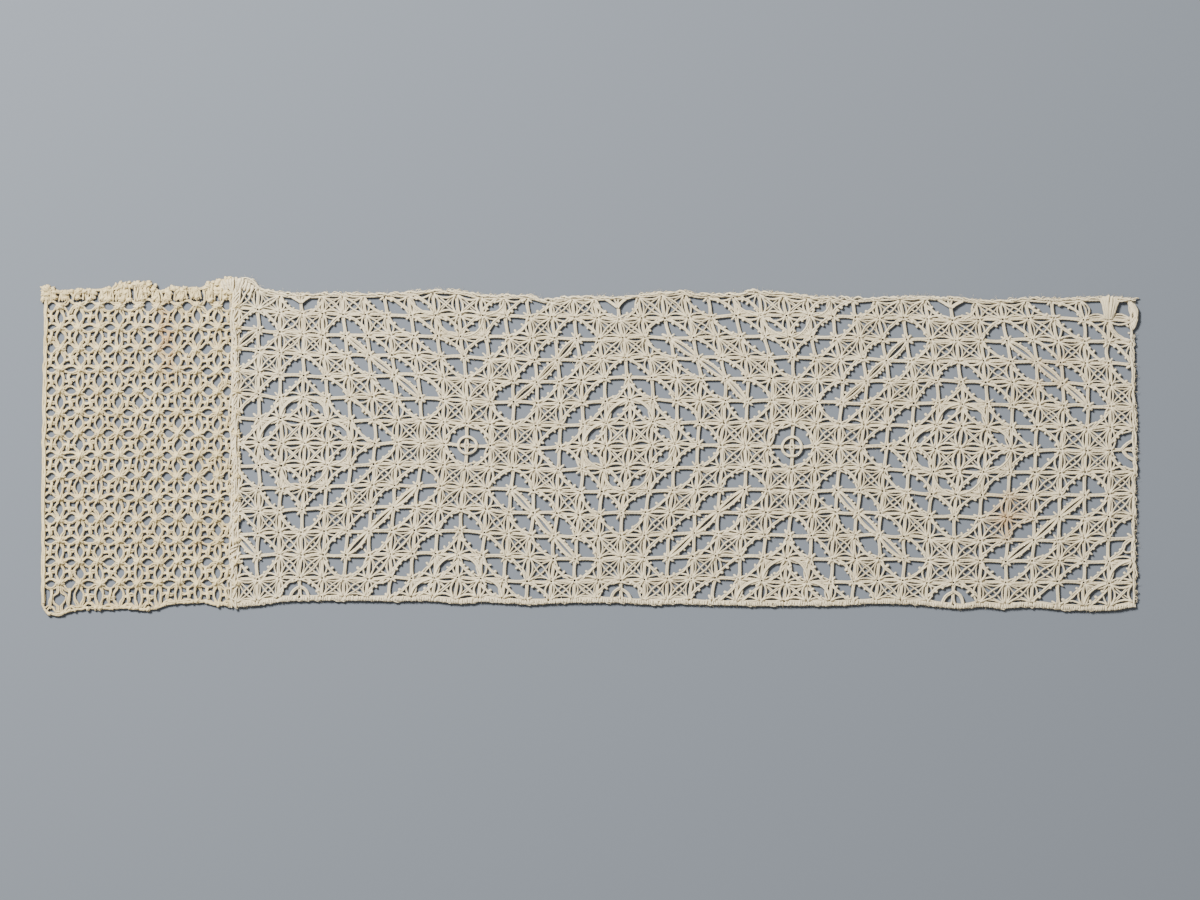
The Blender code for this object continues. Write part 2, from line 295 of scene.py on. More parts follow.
def thread_nodes(sides, flatness):
    """Geometry Nodes that turn each spline into a closed tube with the given number of sides."""
    tree = bpy.data.node_groups.new(f"thread_of_{sides}_sides", "GeometryNodeTree")
    for way in ("INPUT", "OUTPUT"):
        tree.interface.new_socket("Geometry", in_out=way, socket_type="NodeSocketGeometry")
    route, along = measured(tree, feed(tree, "NodeGroupInput", {})[0], "Length", "Length")
    circle = feed(tree, "GeometryNodeCurvePrimitiveCircle", {"Resolution": sides, "Radius": MM})["Curve"]
    pressed = {"Geometry": circle, "Rotation": (0.0, 0.0, math.pi / 2), "Scale": (flatness, 1.0, 1.0)}
    oval = feed(tree, "GeometryNodeTransform", pressed)["Geometry"]
    section, around = measured(tree, oval, "Around", "Factor")
    radius = feed(tree, "GeometryNodeInputRadius", {})["Radius"]
    sweep = {"Curve": route, "Profile Curve": section, "Scale": radius, "Fill Caps": True}
    tube = feed(tree, "GeometryNodeCurveToMesh", sweep)["Mesh"]
    store = tree.nodes.new("GeometryNodeStoreNamedAttribute")
    store.data_type, store.domain = "FLOAT2", "CORNER"
    store.inputs["Name"].default_value = "UVMap"
    tree.links.new(tube, store.inputs["Geometry"])
    both = feed(tree, "ShaderNodeCombineXYZ", {"X": along, "Y": around})["Vector"]
    tree.links.new(both, store.inputs["Value"])
    feed(tree, "NodeGroupOutput", {0: store.outputs["Geometry"]})
    print(f"{tree.name}: {len(tree.nodes)} nodes")
    return tree


# %% [markdown]
# A skein collects the threads of one kind and spins them into one piece. A modifier that ends in one mesh is
# applied at once, so that what is kept is a plain mesh at the origin.
#
# The lace lies on a table, so a skein also lifts any point that would sink into it.

# %% A skein collects threads and spins them into one mesh
ON_TABLE = 0.02  # the least space left under a thread


class Skein:
    """Threads of one kind. Each is a list of (x, y, z, radius) points in millimetres."""

    made = []  # how many triangles each finished piece has

    def __init__(self, name, sides=6, flatness=0.85):
        self.name = name
        self.sides = sides
        self.flatness = flatness
        self.threads = []

    def add(self, points, closed=False):
        """Keeps a thread, lifted wherever it would sink into the table that the lace lies on."""
        lifted = [(x, y, max(z, ON_TABLE + self.flatness * radius), radius) for x, y, z, radius in points]
        self.threads.append((lifted, closed))

    def lay(self, place, points):
        """Adds a thread whose x and y are places on a chart."""
        self.add([(*place(x, y), z, radius) for x, y, z, radius in points])

    def spin(self):
        """The finished mesh object."""
        curve = bpy.data.curves.new(self.name, "CURVE")
        curve.dimensions = "3D"
        curve.twist_mode = "Z_UP"
        for points, closed in self.threads:
            spline = curve.splines.new("POLY")
            spline.points.add(len(points) - 1)
            places = [c for x, y, z, _ in points for c in (x * MM, y * MM, z * MM, 1.0)]
            spline.points.foreach_set("co", places)
            spline.points.foreach_set("radius", [point[3] for point in points])
            spline.use_cyclic_u = closed
        guide = bpy.data.objects.new(self.name + "_guide", curve)
        bpy.context.scene.collection.objects.link(guide)
        modifier = guide.modifiers.new("threads", "NODES")
        modifier.node_group = thread_nodes(self.sides, self.flatness)
        graph = bpy.context.evaluated_depsgraph_get()
        mesh = bpy.data.meshes.new_from_object(guide.evaluated_get(graph))
        mesh.name = self.name
        bpy.data.objects.remove(guide)
        bpy.data.curves.remove(curve)
        piece = bpy.data.objects.new(self.name, mesh)
        bpy.context.scene.collection.objects.link(piece)
        triangles = sum(len(face.vertices) - 2 for face in mesh.polygons)
        print(f"{self.name}: {len(self.threads)} threads, {triangles} triangles")
        Skein.made.append(triangles)
        return piece


# %% [markdown]
# ## The lattice of bars
#
# Each bar is a flat plait a little over a millimetre wide, and a closer look shows two ridges with a groove
# between them. Four braided strands a bar would take half a million triangles for something two pixels wide,
# so a bar is two strands that run on from edge to edge. At each crossing they part round a pinhole, where the
# maker's pin stood, and pass over and under the other line.

# %% Bars
STRAND_RADIUS = 0.37
STRAND_OFFSET = 0.20  # from a bar's middle line to the middle of a strand
STRAND_PART = 0.47  # how much farther it goes at a crossing
BENDING = 0.42  # how far a bar may bend to one side between its crossings
CROSSING_REACH = 0.17  # of a square
BAR_HEIGHT = 0.50
WEAVE_LIFT = 0.15  # up where a bar passes over, and down where it passes under
STEPS = 7  # points on each side of a square


def strand(line, side, along_row):
    """One of the two strands of a row line or column line."""
    points = []
    for i in range((COLUMNS if along_row else ROWS) * STEPS + 1):
        t = i / STEPS
        crossing = near(abs(t - round(t)), CROSSING_REACH)
        x, y = diamond_place(t, line) if along_row else diamond_place(line, t)
        apart = side * (STRAND_OFFSET + STRAND_PART * crossing)
        apart += BENDING * drift(1.1 * t, 3.0 * line, 9.5 if along_row else 19.5)
        over = 1 if (round(t) + line) % 2 == (0 if along_row else 1) else -1
        z = BAR_HEIGHT + WEAVE_LIFT * over * crossing
        z += 0.08 * drift(1.7 * t, 2.0 * line, 31.5 + side)
        radius = STRAND_RADIUS * (1.0 - 0.06 * crossing + 0.10 * drift(2.3 * t, line, 41.5 + side))
        points.append((x, y + apart, z, radius) if along_row else (x + apart, y, z, radius))
    return points


bars = Skein("lattice_bars", flatness=0.72)
for along_row, lines, in_cord in ((True, ROWS, 0), (False, COLUMNS, COLUMNS)):
    for line in range(lines + 1):
        # a line that lies in an edge cord needs one strand only
        for side in (0,) if line == in_cord else (-1, 1):
            bars.add(strand(line, side, along_row))
lattice_bars = bars.spin()

# %% [markdown]
# ## A ring at each crossing
#
# Seen close, a thread is wound round each crossing, which keeps the pinhole open. It could be a torus, but a
# closed spline through seven uneven points looks wound by hand, and it needs far fewer triangles.

# %% A bound ring round each pinhole
rings = Skein("crossing_rings", sides=5, flatness=0.8)
ring_rng = random.Random(77)
RING_POINTS = 7


def toward(reach, angle):
    """How far across and how far up a step of the given reach goes. The angle is in radians."""
    return reach * math.cos(angle), reach * math.sin(angle)


for column in range(1, COLUMNS):
    for row in range(1, ROWS):
        x, y = diamond_place(column, row)
        size = ring_rng.uniform(0.52, 0.62)
        points = []
        for i in range(RING_POINTS):
            angle = 2 * math.pi * (i + ring_rng.uniform(-0.15, 0.15)) / RING_POINTS
            across, up = toward(size * ring_rng.uniform(0.85, 1.15), angle)
            height = 0.68 + ring_rng.uniform(-0.10, 0.10)
            points.append((x + across, y + up, height, ring_rng.uniform(0.18, 0.30)))
        rings.add(points, closed=True)
crossing_rings = rings.spin()

# %% [markdown]
# ## Threads beside the bars
#
# A filled square starts with threads that lie beside its bars, from corner to corner, and swell towards the
# middle, so that a narrow slit shows between bar and thread. Their ends pass over the ring and turn down into
# the pinhole, which gives each crossing its look of a small star.
#
# A filling is drawn once, in a square whose sides are 1 long and whose corner (0, 0) it is built about.
# `square_place` then mirrors it and lays it where the square really is. The alternative, a finished star that
# is copied and bent, would bend the threads' thickness too.

# %% Drawing inside a square
rng = random.Random(2406)


def vary(value, share=0.12):
    """The value, a little larger or smaller."""
    return value * (1.0 + share * rng.uniform(-1.0, 1.0))


def shares(count):
    """The places of points spread evenly along a thread, from 0 at its start to 1 at its end."""
    return [i / (count - 1) for i in range(count)]


def square_place(column, row, corner):
    """A function from a point within one square, built about its corner, to its place in the lace."""

    def place(x, y):
        return diamond_place(column + (1 - x if corner[0] else x), row + (1 - y if corner[1] else y))

    return place


def swell(t, power=0.8):
    """0 at both ends and 1 in the middle."""
    return max(0.0, math.sin(math.pi * t)) ** power


def draped(t, low, high):
    """Height of a thread that is low in the middle and climbs onto the crossings at its ends."""
    return low + (high - low) * (1.0 - swell(t, 1.0)) ** 2


print("a thread that climbs:", [round(draped(t, 0.42, 0.92), 2) for t in shares(5)])

# %% [markdown]
# The two kinds of thread that most fillings are made of are a thread beside a bar and a slanting thread from
# corner to corner. Both need more points near their ends than in their middle, because that is where they
# climb over the ring.

# %% A thread beside a bar, and a slanting thread
ALONG = (0.06, 0.12, 0.24, 0.41, 0.59, 0.76, 0.88, 0.94)
SLANT_ALONG = (0.045, 0.09, 0.2, 0.35, 0.5, 0.65, 0.8, 0.91, 0.955)
OVER_RING = 0.98  # height where a thread passes over the ring
TUCK = 0.26  # how far its very end turns down into the pinhole
TUCKED_SHARE = 0.6  # how thick its very end is, beside the rest
HALF_SLANT = math.sqrt(0.5)  # what a step sideways from a slanting line is, across and up


def over_ring(t, places, low, high, over=OVER_RING):
    """Height at one of a thread's places: in the pinhole at its ends, over the ring next, draped between."""
    if t in (places[0], places[-1]):
        return over - TUCK
    return vary(over, 0.08) if t in (places[1], places[-2]) else draped(t, low, high)


def beside(side, bulge, radius, low=0.42, high=0.92, start=0.03, power=0.95):
    """A thread beside one side of a square: 0 is the side y = 0, 1 is x = 0, 2 is y = 1 and 3 is x = 1."""
    points = []
    lean = 0.06 * rng.uniform(-1.0, 1.0)
    for t in ALONG:
        off = start + (bulge - start) * swell(t + lean * swell(t), power)
        z = over_ring(t, ALONG, low, high)
        thick = radius * (TUCKED_SHARE if t in (ALONG[0], ALONG[-1]) else vary(1.0))
        x, y = ((t, off), (off, t), (t, 1.0 - off), (1.0 - off, t))[side]
        points.append((x, y, z, thick))
    return points


def slanting(bow, radius, low=0.42, high=0.85, power=1.0, turned=False, over=OVER_RING):
    """A thread from corner (0, 0) to corner (1, 1), or from (1, 0) to (0, 1), that bows sideways."""
    points = []
    for t in SLANT_ALONG:
        off = bow * swell(t, power) * HALF_SLANT
        x, y = t + off, t - off
        z = over_ring(t, SLANT_ALONG, low, high, over)
        thick = radius * (TUCKED_SHARE if t in (SLANT_ALONG[0], SLANT_ALONG[-1]) else vary(1.0, 0.1))
        points.append((1.0 - x if turned else x, y, z, thick))
    return points


print("points of a thread beside a bar:", len(ALONG), "and of a slanting one:", len(SLANT_ALONG))

# %% [markdown]
# ## Stars and petals
#
# A star is four side threads and two pairs of slanting threads. The threads of a pair part in the middle and
# come together again well before the corners, so the pairs cross like a hash sign that stands on its corner,
# round a small diamond-shaped hole. Petals are the same square worked with stout side threads, which make a
# leaf of each bar, and with a tiny cross in the middle.
#
# No two stars of a real lace are alike, so each draws its own swelling, spread and shift, and now and then it
# has a thread more.

# %% Star and petal squares
arcs = Skein("side_threads", sides=5)
crosses = Skein("star_threads", sides=5)


def star(place):
    for side in range(4):
        arcs.lay(place, beside(side, rng.uniform(0.13, 0.208), rng.uniform(0.27, 0.35)))
    extra = rng.choice((-1, 0, 0, 0, 1))
    shift = rng.uniform(-0.025, 0.025)
    spread = rng.uniform(0.105, 0.150)
    for turned in (False, True):
        low = 0.54 if turned else 0.36
        for bow in (-1, 1):
            off = vary(bow * spread, 0.16) + shift
            crosses.lay(place, slanting(off, vary(0.285, 0.12), low=low, power=1.7, turned=turned))
            if turned and bow == extra:
                more = slanting(bow * 0.055, vary(0.22, 0.1), low=0.40, power=0.9, turned=turned)
                crosses.lay(place, more)


def petals(place):
    for side in range(4):
        arcs.lay(place, beside(side, vary(0.232, 0.06), vary(0.41, 0.08), power=0.9, low=0.5))
    for turned in (False, True):
        for off in (-0.03, 0.03):
            off = vary(off, 0.5)
            low, high = rng.uniform(0.16, 0.19), rng.uniform(0.81, 0.84)
            points = []
            for t in shares(6):
                x = low + (high - low) * t
                height = 0.42 + (0.34 if turned else 0.16) * swell(t, 1.0)
                thick = vary(0.24, 0.12) * (0.6 if t in (0.0, 1.0) else 1.0)
                points.append((1.0 - x - off if turned else x + off, x - off, height, thick))
            crosses.lay(place, points)


print("stars:", sum(s[2] == "S" for s in SQUARES), "and petals:", sum(s[2] == "P" for s in SQUARES))

# %% [markdown]
# ## Triangles and their picots
#
# Where the design opens, only one corner of a square is worked: two side threads, and a slanting pair that
# closes the corner and leaves a tiny triangular hole. Little pegs stand on the slant. They are picots, loops
# that the maker threw round a pin. Pulled tight, such a loop is a blunt peg, so one short tapering thread is
# enough.

# %% Triangle squares
picots = Skein("picots", sides=5, flatness=0.8)
slants = Skein("slanting_threads", sides=6)
PEG = ((0.0, 0.75), (0.4, 0.95), (0.7, 0.92), (0.9, 0.7), (1.0, 0.35))  # share of its length and radius
SLANT_ENDS = 0.02  # of a square, between a bar and the place where a closing thread goes under it
UNDER_BAR = 0.32


def peg(place, x, y, direction, length=0.145, radius=0.50, low=0.5, high=0.62, stray=1.0):
    """A short blunt loop that starts at (x, y) and points the given way, in degrees."""
    angle = math.radians(direction + stray * rng.uniform(-30.0, 30.0))
    length = vary(length, 0.28 * stray)
    radius = vary(radius, 0.22)
    points = []
    for share, swelling in PEG:
        across, up = toward(length * share, angle)
        points.append((x + across, y + up, low + (high - low) * share, radius * swelling))
    picots.lay(place, points)


def closing_thread(place, total, radius, height=0.5, dip=0.05):
    """The slanting thread of a triangle, near the line x + y = total and bowed towards its corner."""
    points = []
    for t in shares(9):
        x = SLANT_ENDS + (total - 2 * SLANT_ENDS) * t
        tucked = t in (0.0, 1.0)
        inward = dip * swell(t, 1.0) + (0.0 if tucked else rng.uniform(-0.028, 0.028))
        z = UNDER_BAR if tucked else height + 0.3 * (1.0 - swell(t, 1.0)) ** 2
        thick = radius * (0.65 if tucked else vary(1.0, 0.24))
        points.append((x - 0.5 * inward, total - x - 0.5 * inward, z, thick))
    slants.lay(place, points)


def triangle(place, total=0.87, pegs=0, dip=0.05):
    """Side threads on the sides y = 0 and x = 0, and a slant with pegs that closes their corner."""
    for side in (0, 1):
        arcs.lay(place, beside(side, vary(0.222, 0.1), vary(rng.choice((0.29, 0.33, 0.38)), 0.1), low=0.5))
    total = vary(total, 0.08)
    dip = vary(dip, 0.8)
    pegs = pegs or rng.choice((3, 3, 3, 2))
    closing_thread(place, total - 0.085, vary(0.28, 0.1), 0.60, dip)
    closing_thread(place, total, vary(0.33, 0.1), 0.48, dip)
    for i in range(pegs):
        t = (i + 0.75 + rng.uniform(-0.22, 0.22)) / (pegs + 0.5)
        x = SLANT_ENDS + (total - 2 * SLANT_ENDS) * t
        inward = 0.5 * dip * swell(t, 1.0)
        peg(place, x - inward, total - x - inward, 45.0)


def stub(place, x, y, direction):
    """The leaf-shaped end that a crossing shows towards an open square."""
    peg(place, x, y, direction, length=0.205, radius=0.43, low=0.80, high=0.60, stray=0.6)


def open_triangle(place):
    triangle(place)
    stub(place, 0.925, 0.925, -135.0)


print("triangles beside open corners:", sum(s[2] in "abcd" for s in SQUARES))

# %% [markdown]
# ## Slanting plaits and quarter rings
#
# Two plaits cross some open squares side by side and bow apart, with pegs on their outer sides. Round the
# medallions, a ring of thread runs from crossing to crossing outside a triangle, with a fan of short threads
# in the corner beyond it. A ring drawn as one circle would miss the crossings, since no square is quite
# square, so each square draws its own quarter.

# %% Plait and quarter ring squares
RAY_ENDS = ((0.84, 0.52), (0.72, 0.72), (0.52, 0.84))
RAY_START = 0.92  # x and y, by the crossing that the rays fan out from


def plaits(place):
    apart = rng.uniform(0.105, 0.142)
    for side in (-1, 1):
        for ridge in (-1, 1):
            bow = side * apart + ridge * 0.036
            slants.lay(place, slanting(bow, 0.36, low=0.5 + 0.1 * ridge, high=0.6, power=0.75, over=0.58))
        for middle in (0.30, 0.48, 0.66):
            middle += rng.uniform(-0.05, 0.05)
            off = side * (0.03 + 0.12 * swell(middle)) * HALF_SLANT
            facing = -45.0 if side > 0 else 135.0
            peg(place, middle + off, middle - off, facing, length=0.12, radius=0.42)
    stub(place, 0.925, 0.075, 135.0)
    stub(place, 0.075, 0.925, -45.0)


def quarter_ring(place):
    triangle(place, total=0.82, pegs=3)
    for side in (2, 3):
        arcs.lay(place, beside(side, vary(0.20), vary(0.33, 0.1)))
    bow = vary(0.195, 0.1)
    for more, thick, low in ((0.0, 0.34, 0.66), (0.052, 0.29, 0.54)):
        points = []
        for share in shares(10):
            t = 0.06 + 0.88 * share
            off = (bow + more) * swell(t, 0.8)
            points.append((1.0 - t + off, t + off, draped(t, low, 0.95), vary(thick, 0.08)))
        slants.lay(place, points)
    for x, y in RAY_ENDS:
        points = []
        for t in (0.0, 0.35, 0.7, 1.0):
            near_x, near_y = RAY_START + (x - RAY_START) * t, RAY_START + (y - RAY_START) * t
            points.append((near_x, near_y, 0.75 - 0.28 * t, 0.27))
        crosses.lay(place, points)


print("slanting plaits:", 2 * sum(s[2] == "D" for s in SQUARES))
print("quarter rings:", sum(s[2] == "Q" for s in SQUARES))

# %% [markdown]
# ## Wheels and tents
#
# A wheel is a stout ring that four plain bars carry, and four squares each work a quarter of it. The quarters
# overlap a little, so that no gap shows between them. Where an edge cuts a wheel in two there is no room to
# turn a ring, and the maker worked a tent instead: a leg from the bar down to each side.

# %% Wheel and tent squares
RING_SHARE = 0.41  # the wheel's radius, as a share of a square
RING_OVERLAP = 0.12  # radians that each quarter of the wheel runs on into the next
WHEEL_STEPS = 10


def far_triangle(place):
    """The triangle in the corner that faces a wheel."""
    triangle((lambda x, y: place(1.0 - x, 1.0 - y)), total=0.78, pegs=3, dip=0.09)


def wheel(place):
    for apart, height in ((-0.02, 0.66), (0.02, 0.58)):
        points = []
        for i in range(WHEEL_STEPS + 1):
            angle = (0.5 * math.pi + 2 * RING_OVERLAP) * i / WHEEL_STEPS - RING_OVERLAP
            lift = 0.32 * abs(math.cos(2 * angle)) ** 3
            thick = vary(0.31, 0.08) * (0.85 if i in (0, WHEEL_STEPS) else 1.0)
            points.append((*toward(RING_SHARE + apart, angle), height + lift, thick))
        slants.lay(place, points)
    far_triangle(place)


def tent(place, reach=0.46, climb=0.40, swelling=-0.015):
    """Half of a wheel cut off by an edge: a stout leg from the bar to the edge, which may swell outwards."""
    reach, climb = vary(reach, 0.06), vary(climb, 0.10)
    bend = rng.uniform(-0.015, 0.015) - swelling
    for apart in (-0.022, 0.022):
        points = []
        for t in shares(8):
            x = reach * t + apart - bend * swell(t, 1.0)
            y = climb * (1.0 - t) + apart - bend * swell(t, 1.0)
            thick = vary(0.33, 0.10) * (0.6 if t == 0.0 else 1.0)
            points.append((max(x, 0.0), y, 0.60 + 0.32 * (1.0 - t) ** 3 + 2.0 * apart, thick))
        slants.lay(place, points)
    far_triangle(place)


def lower_tent(place):
    tent(place, reach=0.41, climb=0.56, swelling=0.07)


def right_tent(place):
    """A tent whose bar lies along the row, so the square's two directions are exchanged."""
    tent((lambda x, y: place(y, x)), reach=0.48, climb=0.52, swelling=0.05)


print("quarters of wheels and halves of tents:", sum(s[2] == "W" for s in SQUARES))

# %% [markdown]
# ## Squares that went their own way
#
# Four squares near the right edge are unlike any other. Beside the drawn bundle of threads two were left
# open, with side threads only. Under it one was pulled into a deep hollow. Farther down, a closing thread was
# let out into a round loop at the edge. They are what makes this one piece, so they get fillings of their
# own.

# %% Odd squares
LOOP_ROUTE = (
    (0.0, 0.97), (0.20, 0.90), (0.36, 0.74), (0.42, 0.54),
    (0.53, 0.38), (0.70, 0.26), (0.86, 0.14), (0.97, 0.05),
)
LOOP_FOOT = ((0.42, 0.46), (0.30, 0.37), (0.15, 0.38), (0.02, 0.48))


def side_pairs(*sides):
    """A filling of two threads beside each of the named sides, and nothing else."""

    def fill(place):
        for side in sides:
            arcs.lay(place, beside(side, 0.17, 0.34))
            arcs.lay(place, beside(side, 0.30, 0.32))

    return fill


def hollow(place):
    """Its closing threads swing deep into the worked corner."""
    for side in (0, 1, 2):
        arcs.lay(place, beside(side, 0.20, 0.34, low=0.5))
    for total, dip, height in ((0.93, 0.36, 0.50), (0.99, 0.33, 0.62), (1.05, 0.29, 0.50)):
        closing_thread(place, total, 0.30, height, dip)
    peg(place, 0.72, 0.86, -60.0, length=0.2)
    peg(place, 0.93, 0.42, 175.0, length=0.12)


def looped(place):
    """Its closing thread runs round a loop at the right edge."""
    for side in (0, 0, 1):
        arcs.lay(place, beside(side, 0.20 - 0.12 * side, 0.32, low=0.5))
    for out in (-0.03, 0.03):
        points = []
        for x, y in LOOP_ROUTE:
            height = 0.7 if (x, y) in (LOOP_ROUTE[0], LOOP_ROUTE[-1]) else 0.5
            points.append((x + out, y + out, height, vary(0.33, 0.1)))
        slants.lay(place, points)
    for x, y, direction in ((0.50, 0.46, 60.0), (0.72, 0.30, 80.0)):
        peg(place, x, y, direction, length=0.12)
    slants.lay(place, [(x, y, 0.55, vary(0.34, 0.1)) for x, y in LOOP_FOOT])


# column and row, then the filling and the corner that it is built about
ODD_SQUARES = {
    (COLUMNS - 2, 0): (side_pairs(0, 1), (0, 1)),
    (COLUMNS - 1, 0): (side_pairs(0), (0, 1)),
    (COLUMNS - 1, 1): (hollow, (0, 1)),
    (COLUMNS - 1, 11): (looped, (1, 1)),
}
print("odd squares:", len(ODD_SQUARES))

# %% [markdown]
# ## Filling the chart
#
# Each letter of the chart names the function that fills its square, and a wheel's letter at an edge names a
# tent. A dictionary of functions keeps this to one line a letter, where a chain of conditions would soon be
# unreadable.

# %% Fill every square
FILLING = {"S": star, "P": petals, "D": plaits, "Q": quarter_ring, "W": wheel}


def filling_of(column, row, letter):
    """The function that fills a square."""
    if letter == "W" and row == 0:
        return tent
    if letter == "W" and row == ROWS - 1:
        return lower_tent
    if letter == "W" and column == COLUMNS - 1:
        return right_tent
    return FILLING.get(letter, open_triangle)


for column, row, letter, corner in SQUARES:
    fill = filling_of(column, row, letter)
    fill, corner = ODD_SQUARES.get((column, row), (fill, corner))
    fill(square_place(column, row, corner))

side_threads = arcs.spin()
star_threads = crosses.spin()
slanting_threads = slants.spin()
picot_pegs = picots.spin()

# %% [markdown]
# ## The edges of the long panel
#
# The upper edge ends in a thin, uneven twisted cord. The right edge has another, whose turns bulge a little
# over each square, beside the last bar. A Screw modifier or an array of turns would be as regular as a
# machine-made rope, so each strand winds round its route at a pace that drifts, and its thickness drifts too.

# %% Edge cords
edge = Skein("edge_cords", sides=6, flatness=1.0)
LEFT_X = SEAM_X + SEAM_GAP
RIGHT_X = 174.0
RIGHT_TOP = 47.0  # y where the right edge's cords end, above and below
RIGHT_FOOT = -51.0
RIGHT_SPAN = (-50.0, 46.0)  # y between which loops and fibres stand on the right edge
EDGE_TOP = 48.0  # y of row line 0 at the right edge
EDGE_HEIGHT = 99.0  # of all rows together, at the right edge
CORD_STEP = 0.75


def walk(start, end, step):
    """Places from the start, one step apart, that stop before the end."""
    while start < end:
        yield start
        start += step


def upper_edge(x):
    return smooth(OUTLINE_X, UPPER_Y, x)


def lower_edge(x):
    return smooth(OUTLINE_X, LOWER_Y, x)


def row_beside(y):
    """The row line at a place on the right edge."""
    return (EDGE_TOP - y) / EDGE_HEIGHT * ROWS


def right_edge(y):
    return diamond_place(COLUMNS, row_beside(y))[0]


def twisted(route, start, end, turn, spread, radius, seed, strands=2):
    """Strands that wind unevenly round a route. The route gives x, y and which way is outwards."""
    for number in range(strands):
        phase = 2 * math.pi * number / strands
        points = []
        for at in walk(start, end, CORD_STEP):
            x, y, out_x, out_y = route(at)
            angle = 2 * math.pi * at / turn + phase + 3.5 * drift(0.21 * at, seed, 8.5)
            off = spread * math.cos(angle) + 0.7 * drift(0.45 * at, seed, phase)
            z = 0.62 + 0.8 * spread * math.sin(angle)
            thick = radius * (1.0 + 0.45 * drift(0.9 * at, seed, phase + 3.5))
            points.append((x + out_x * off, y + out_y * off, z, thick))
        edge.add(points)


def upper_route(x):
    return x, upper_edge(x) - 0.40, 0.0, 1.0


def right_route(y):
    bulge = (0.25 + 0.6 * drift(0.31 * y, 1.5, 51.5)) * abs(math.sin(math.pi * row_beside(y)))
    return right_edge(y) + 0.10 + bulge, y, 1.0, 0.0


def right_bar_route(y):
    return right_edge(y) - 0.05, y, 1.0, 0.0


twisted(upper_route, LEFT_X, RIGHT_X + 0.8, turn=5.2, spread=0.26, radius=0.30, seed=1.5)
twisted(right_route, RIGHT_FOOT, RIGHT_TOP, turn=7.0, spread=0.12, radius=0.30, seed=2.5, strands=1)
twisted(right_bar_route, RIGHT_FOOT, RIGHT_TOP, turn=7.0, spread=0.25, radius=0.31, seed=6.5)
print("strands in the edge cords:", len(edge.threads))

# %% [markdown]
# Small loops stand out from both cords, where the maker turned back at the edge. Half a circle of seven
# points is all that such a loop needs. Their places are random, because an even row of loops would look like
# a trimming that was bought and sewn on.

# %% Edge loops
loops = Skein("edge_loops", sides=5, flatness=1.0)
UPPER_LOOPS = 190
RIGHT_LOOPS = 46
LOOP_RADIUS = 0.13  # of its thread


def loop(x, y, facing, width, height):
    """A small loop that stands out from the edge the given way, in degrees."""
    facing = math.radians(facing)
    points = []
    for t in shares(7):
        out_x, out_y = toward(height * math.sin(math.pi * t), facing)
        side_x, side_y = toward(0.5 * width * math.cos(math.pi * t), facing)
        z = 0.55 + 0.3 * math.sin(math.pi * t + 1.0)
        points.append((x + out_x - side_y, y + out_y + side_x, z, LOOP_RADIUS))
    loops.add(points)


for i in range(UPPER_LOOPS):
    x = rng.uniform(LEFT_X + 4.0, RIGHT_X)
    loop(x, upper_edge(x) - 0.55, vary(90.0, 0.4), vary(1.2, 0.5), vary(0.75, 0.5))
for i in range(RIGHT_LOOPS):
    y = rng.uniform(*RIGHT_SPAN)
    loop(right_edge(y) + 0.25, y, rng.uniform(-40.0, 40.0), vary(1.2, 0.5), vary(0.65, 0.5))
print("loops on the edges:", len(loops.threads))

# %% [markdown]
# Near the right end the work is uneven. A stout bundle of threads is drawn together between the upper edge
# and the first row line, a few more run down the corner, and one thread end hangs out. The bundle is a fan of
# folds that meet at its foot, and the folds on its sides lie lower, so that it is round. A cone would be
# quicker, but the folds are what tells a bundle of threads from a plug.

# %% The drawn bundle
BUNDLE_FOOT = (COLUMNS - 1.0, 1.0)  # column line and row line
BUNDLE_FOLDS = 16
BUNDLE_TOP_WIDTH = 6.0
FOLD_LEVELS = (0.0, 0.35, 0.7, 1.0)  # how high in the bundle a fold lies
# share of a fold's length, and of its greatest radius there
FOLD = ((0.0, 0.45), (0.04, 0.85), (0.13, 1.0), (0.3, 0.95), (0.5, 0.9), (0.7, 0.85), (0.9, 0.75), (1.0, 0.3))

foot_x, foot_y = diamond_place(*BUNDLE_FOOT)
for i in range(BUNDLE_FOLDS):
    level = rng.choice(FOLD_LEVELS)
    side = 2 * i / (BUNDLE_FOLDS - 1) - 1 + rng.uniform(-0.1, 0.1)
    top_x = foot_x + 0.5 + 0.5 * BUNDLE_TOP_WIDTH * side
    top_y = upper_edge(top_x) + 0.6 - 0.9 * side**2 + rng.uniform(-0.5, 0.2)
    radius = rng.uniform(0.36, 0.58)
    lean = rng.uniform(-0.5, 0.5)
    points = []
    for t, share in FOLD:
        gathered = (top_x - foot_x) * (0.42 + 0.58 * (1 - t) ** 1.2)
        x = foot_x + gathered + lean * math.sin(3.0 * t) + rng.uniform(-0.14, 0.14)
        y = top_y + (foot_y + 0.2 - top_y) * t
        z = 0.45 + 0.45 * level * swell(0.05 + 0.9 * t, 0.5) + 0.4 * swell(0.1 + 0.8 * t, 0.6)
        points.append((x, y, z * (1.0 - 0.3 * side**2), vary(radius * share, 0.12)))
    edge.add(points)
print("folds in the drawn bundle:", BUNDLE_FOLDS)

# %% [markdown]
# The threads at the corner run down beside each other, bowed a little outwards and on four levels, so that
# some lie over others. The loose end is one thread whose few points are listed one by one, since there is
# only one of it.

# %% The corner threads and the loose end
CORNER_THREADS = 7
# x and y from the upper right corner, then the height and the radius
LOOSE_END = (
    (-7.0, -0.6, 0.7, 0.30), (-4.2, -0.9, 1.1, 0.30), (-1.6, -0.4, 1.0, 0.27),
    (0.7, 0.2, 0.6, 0.25), (1.5, 0.1, 0.35, 0.20),
)

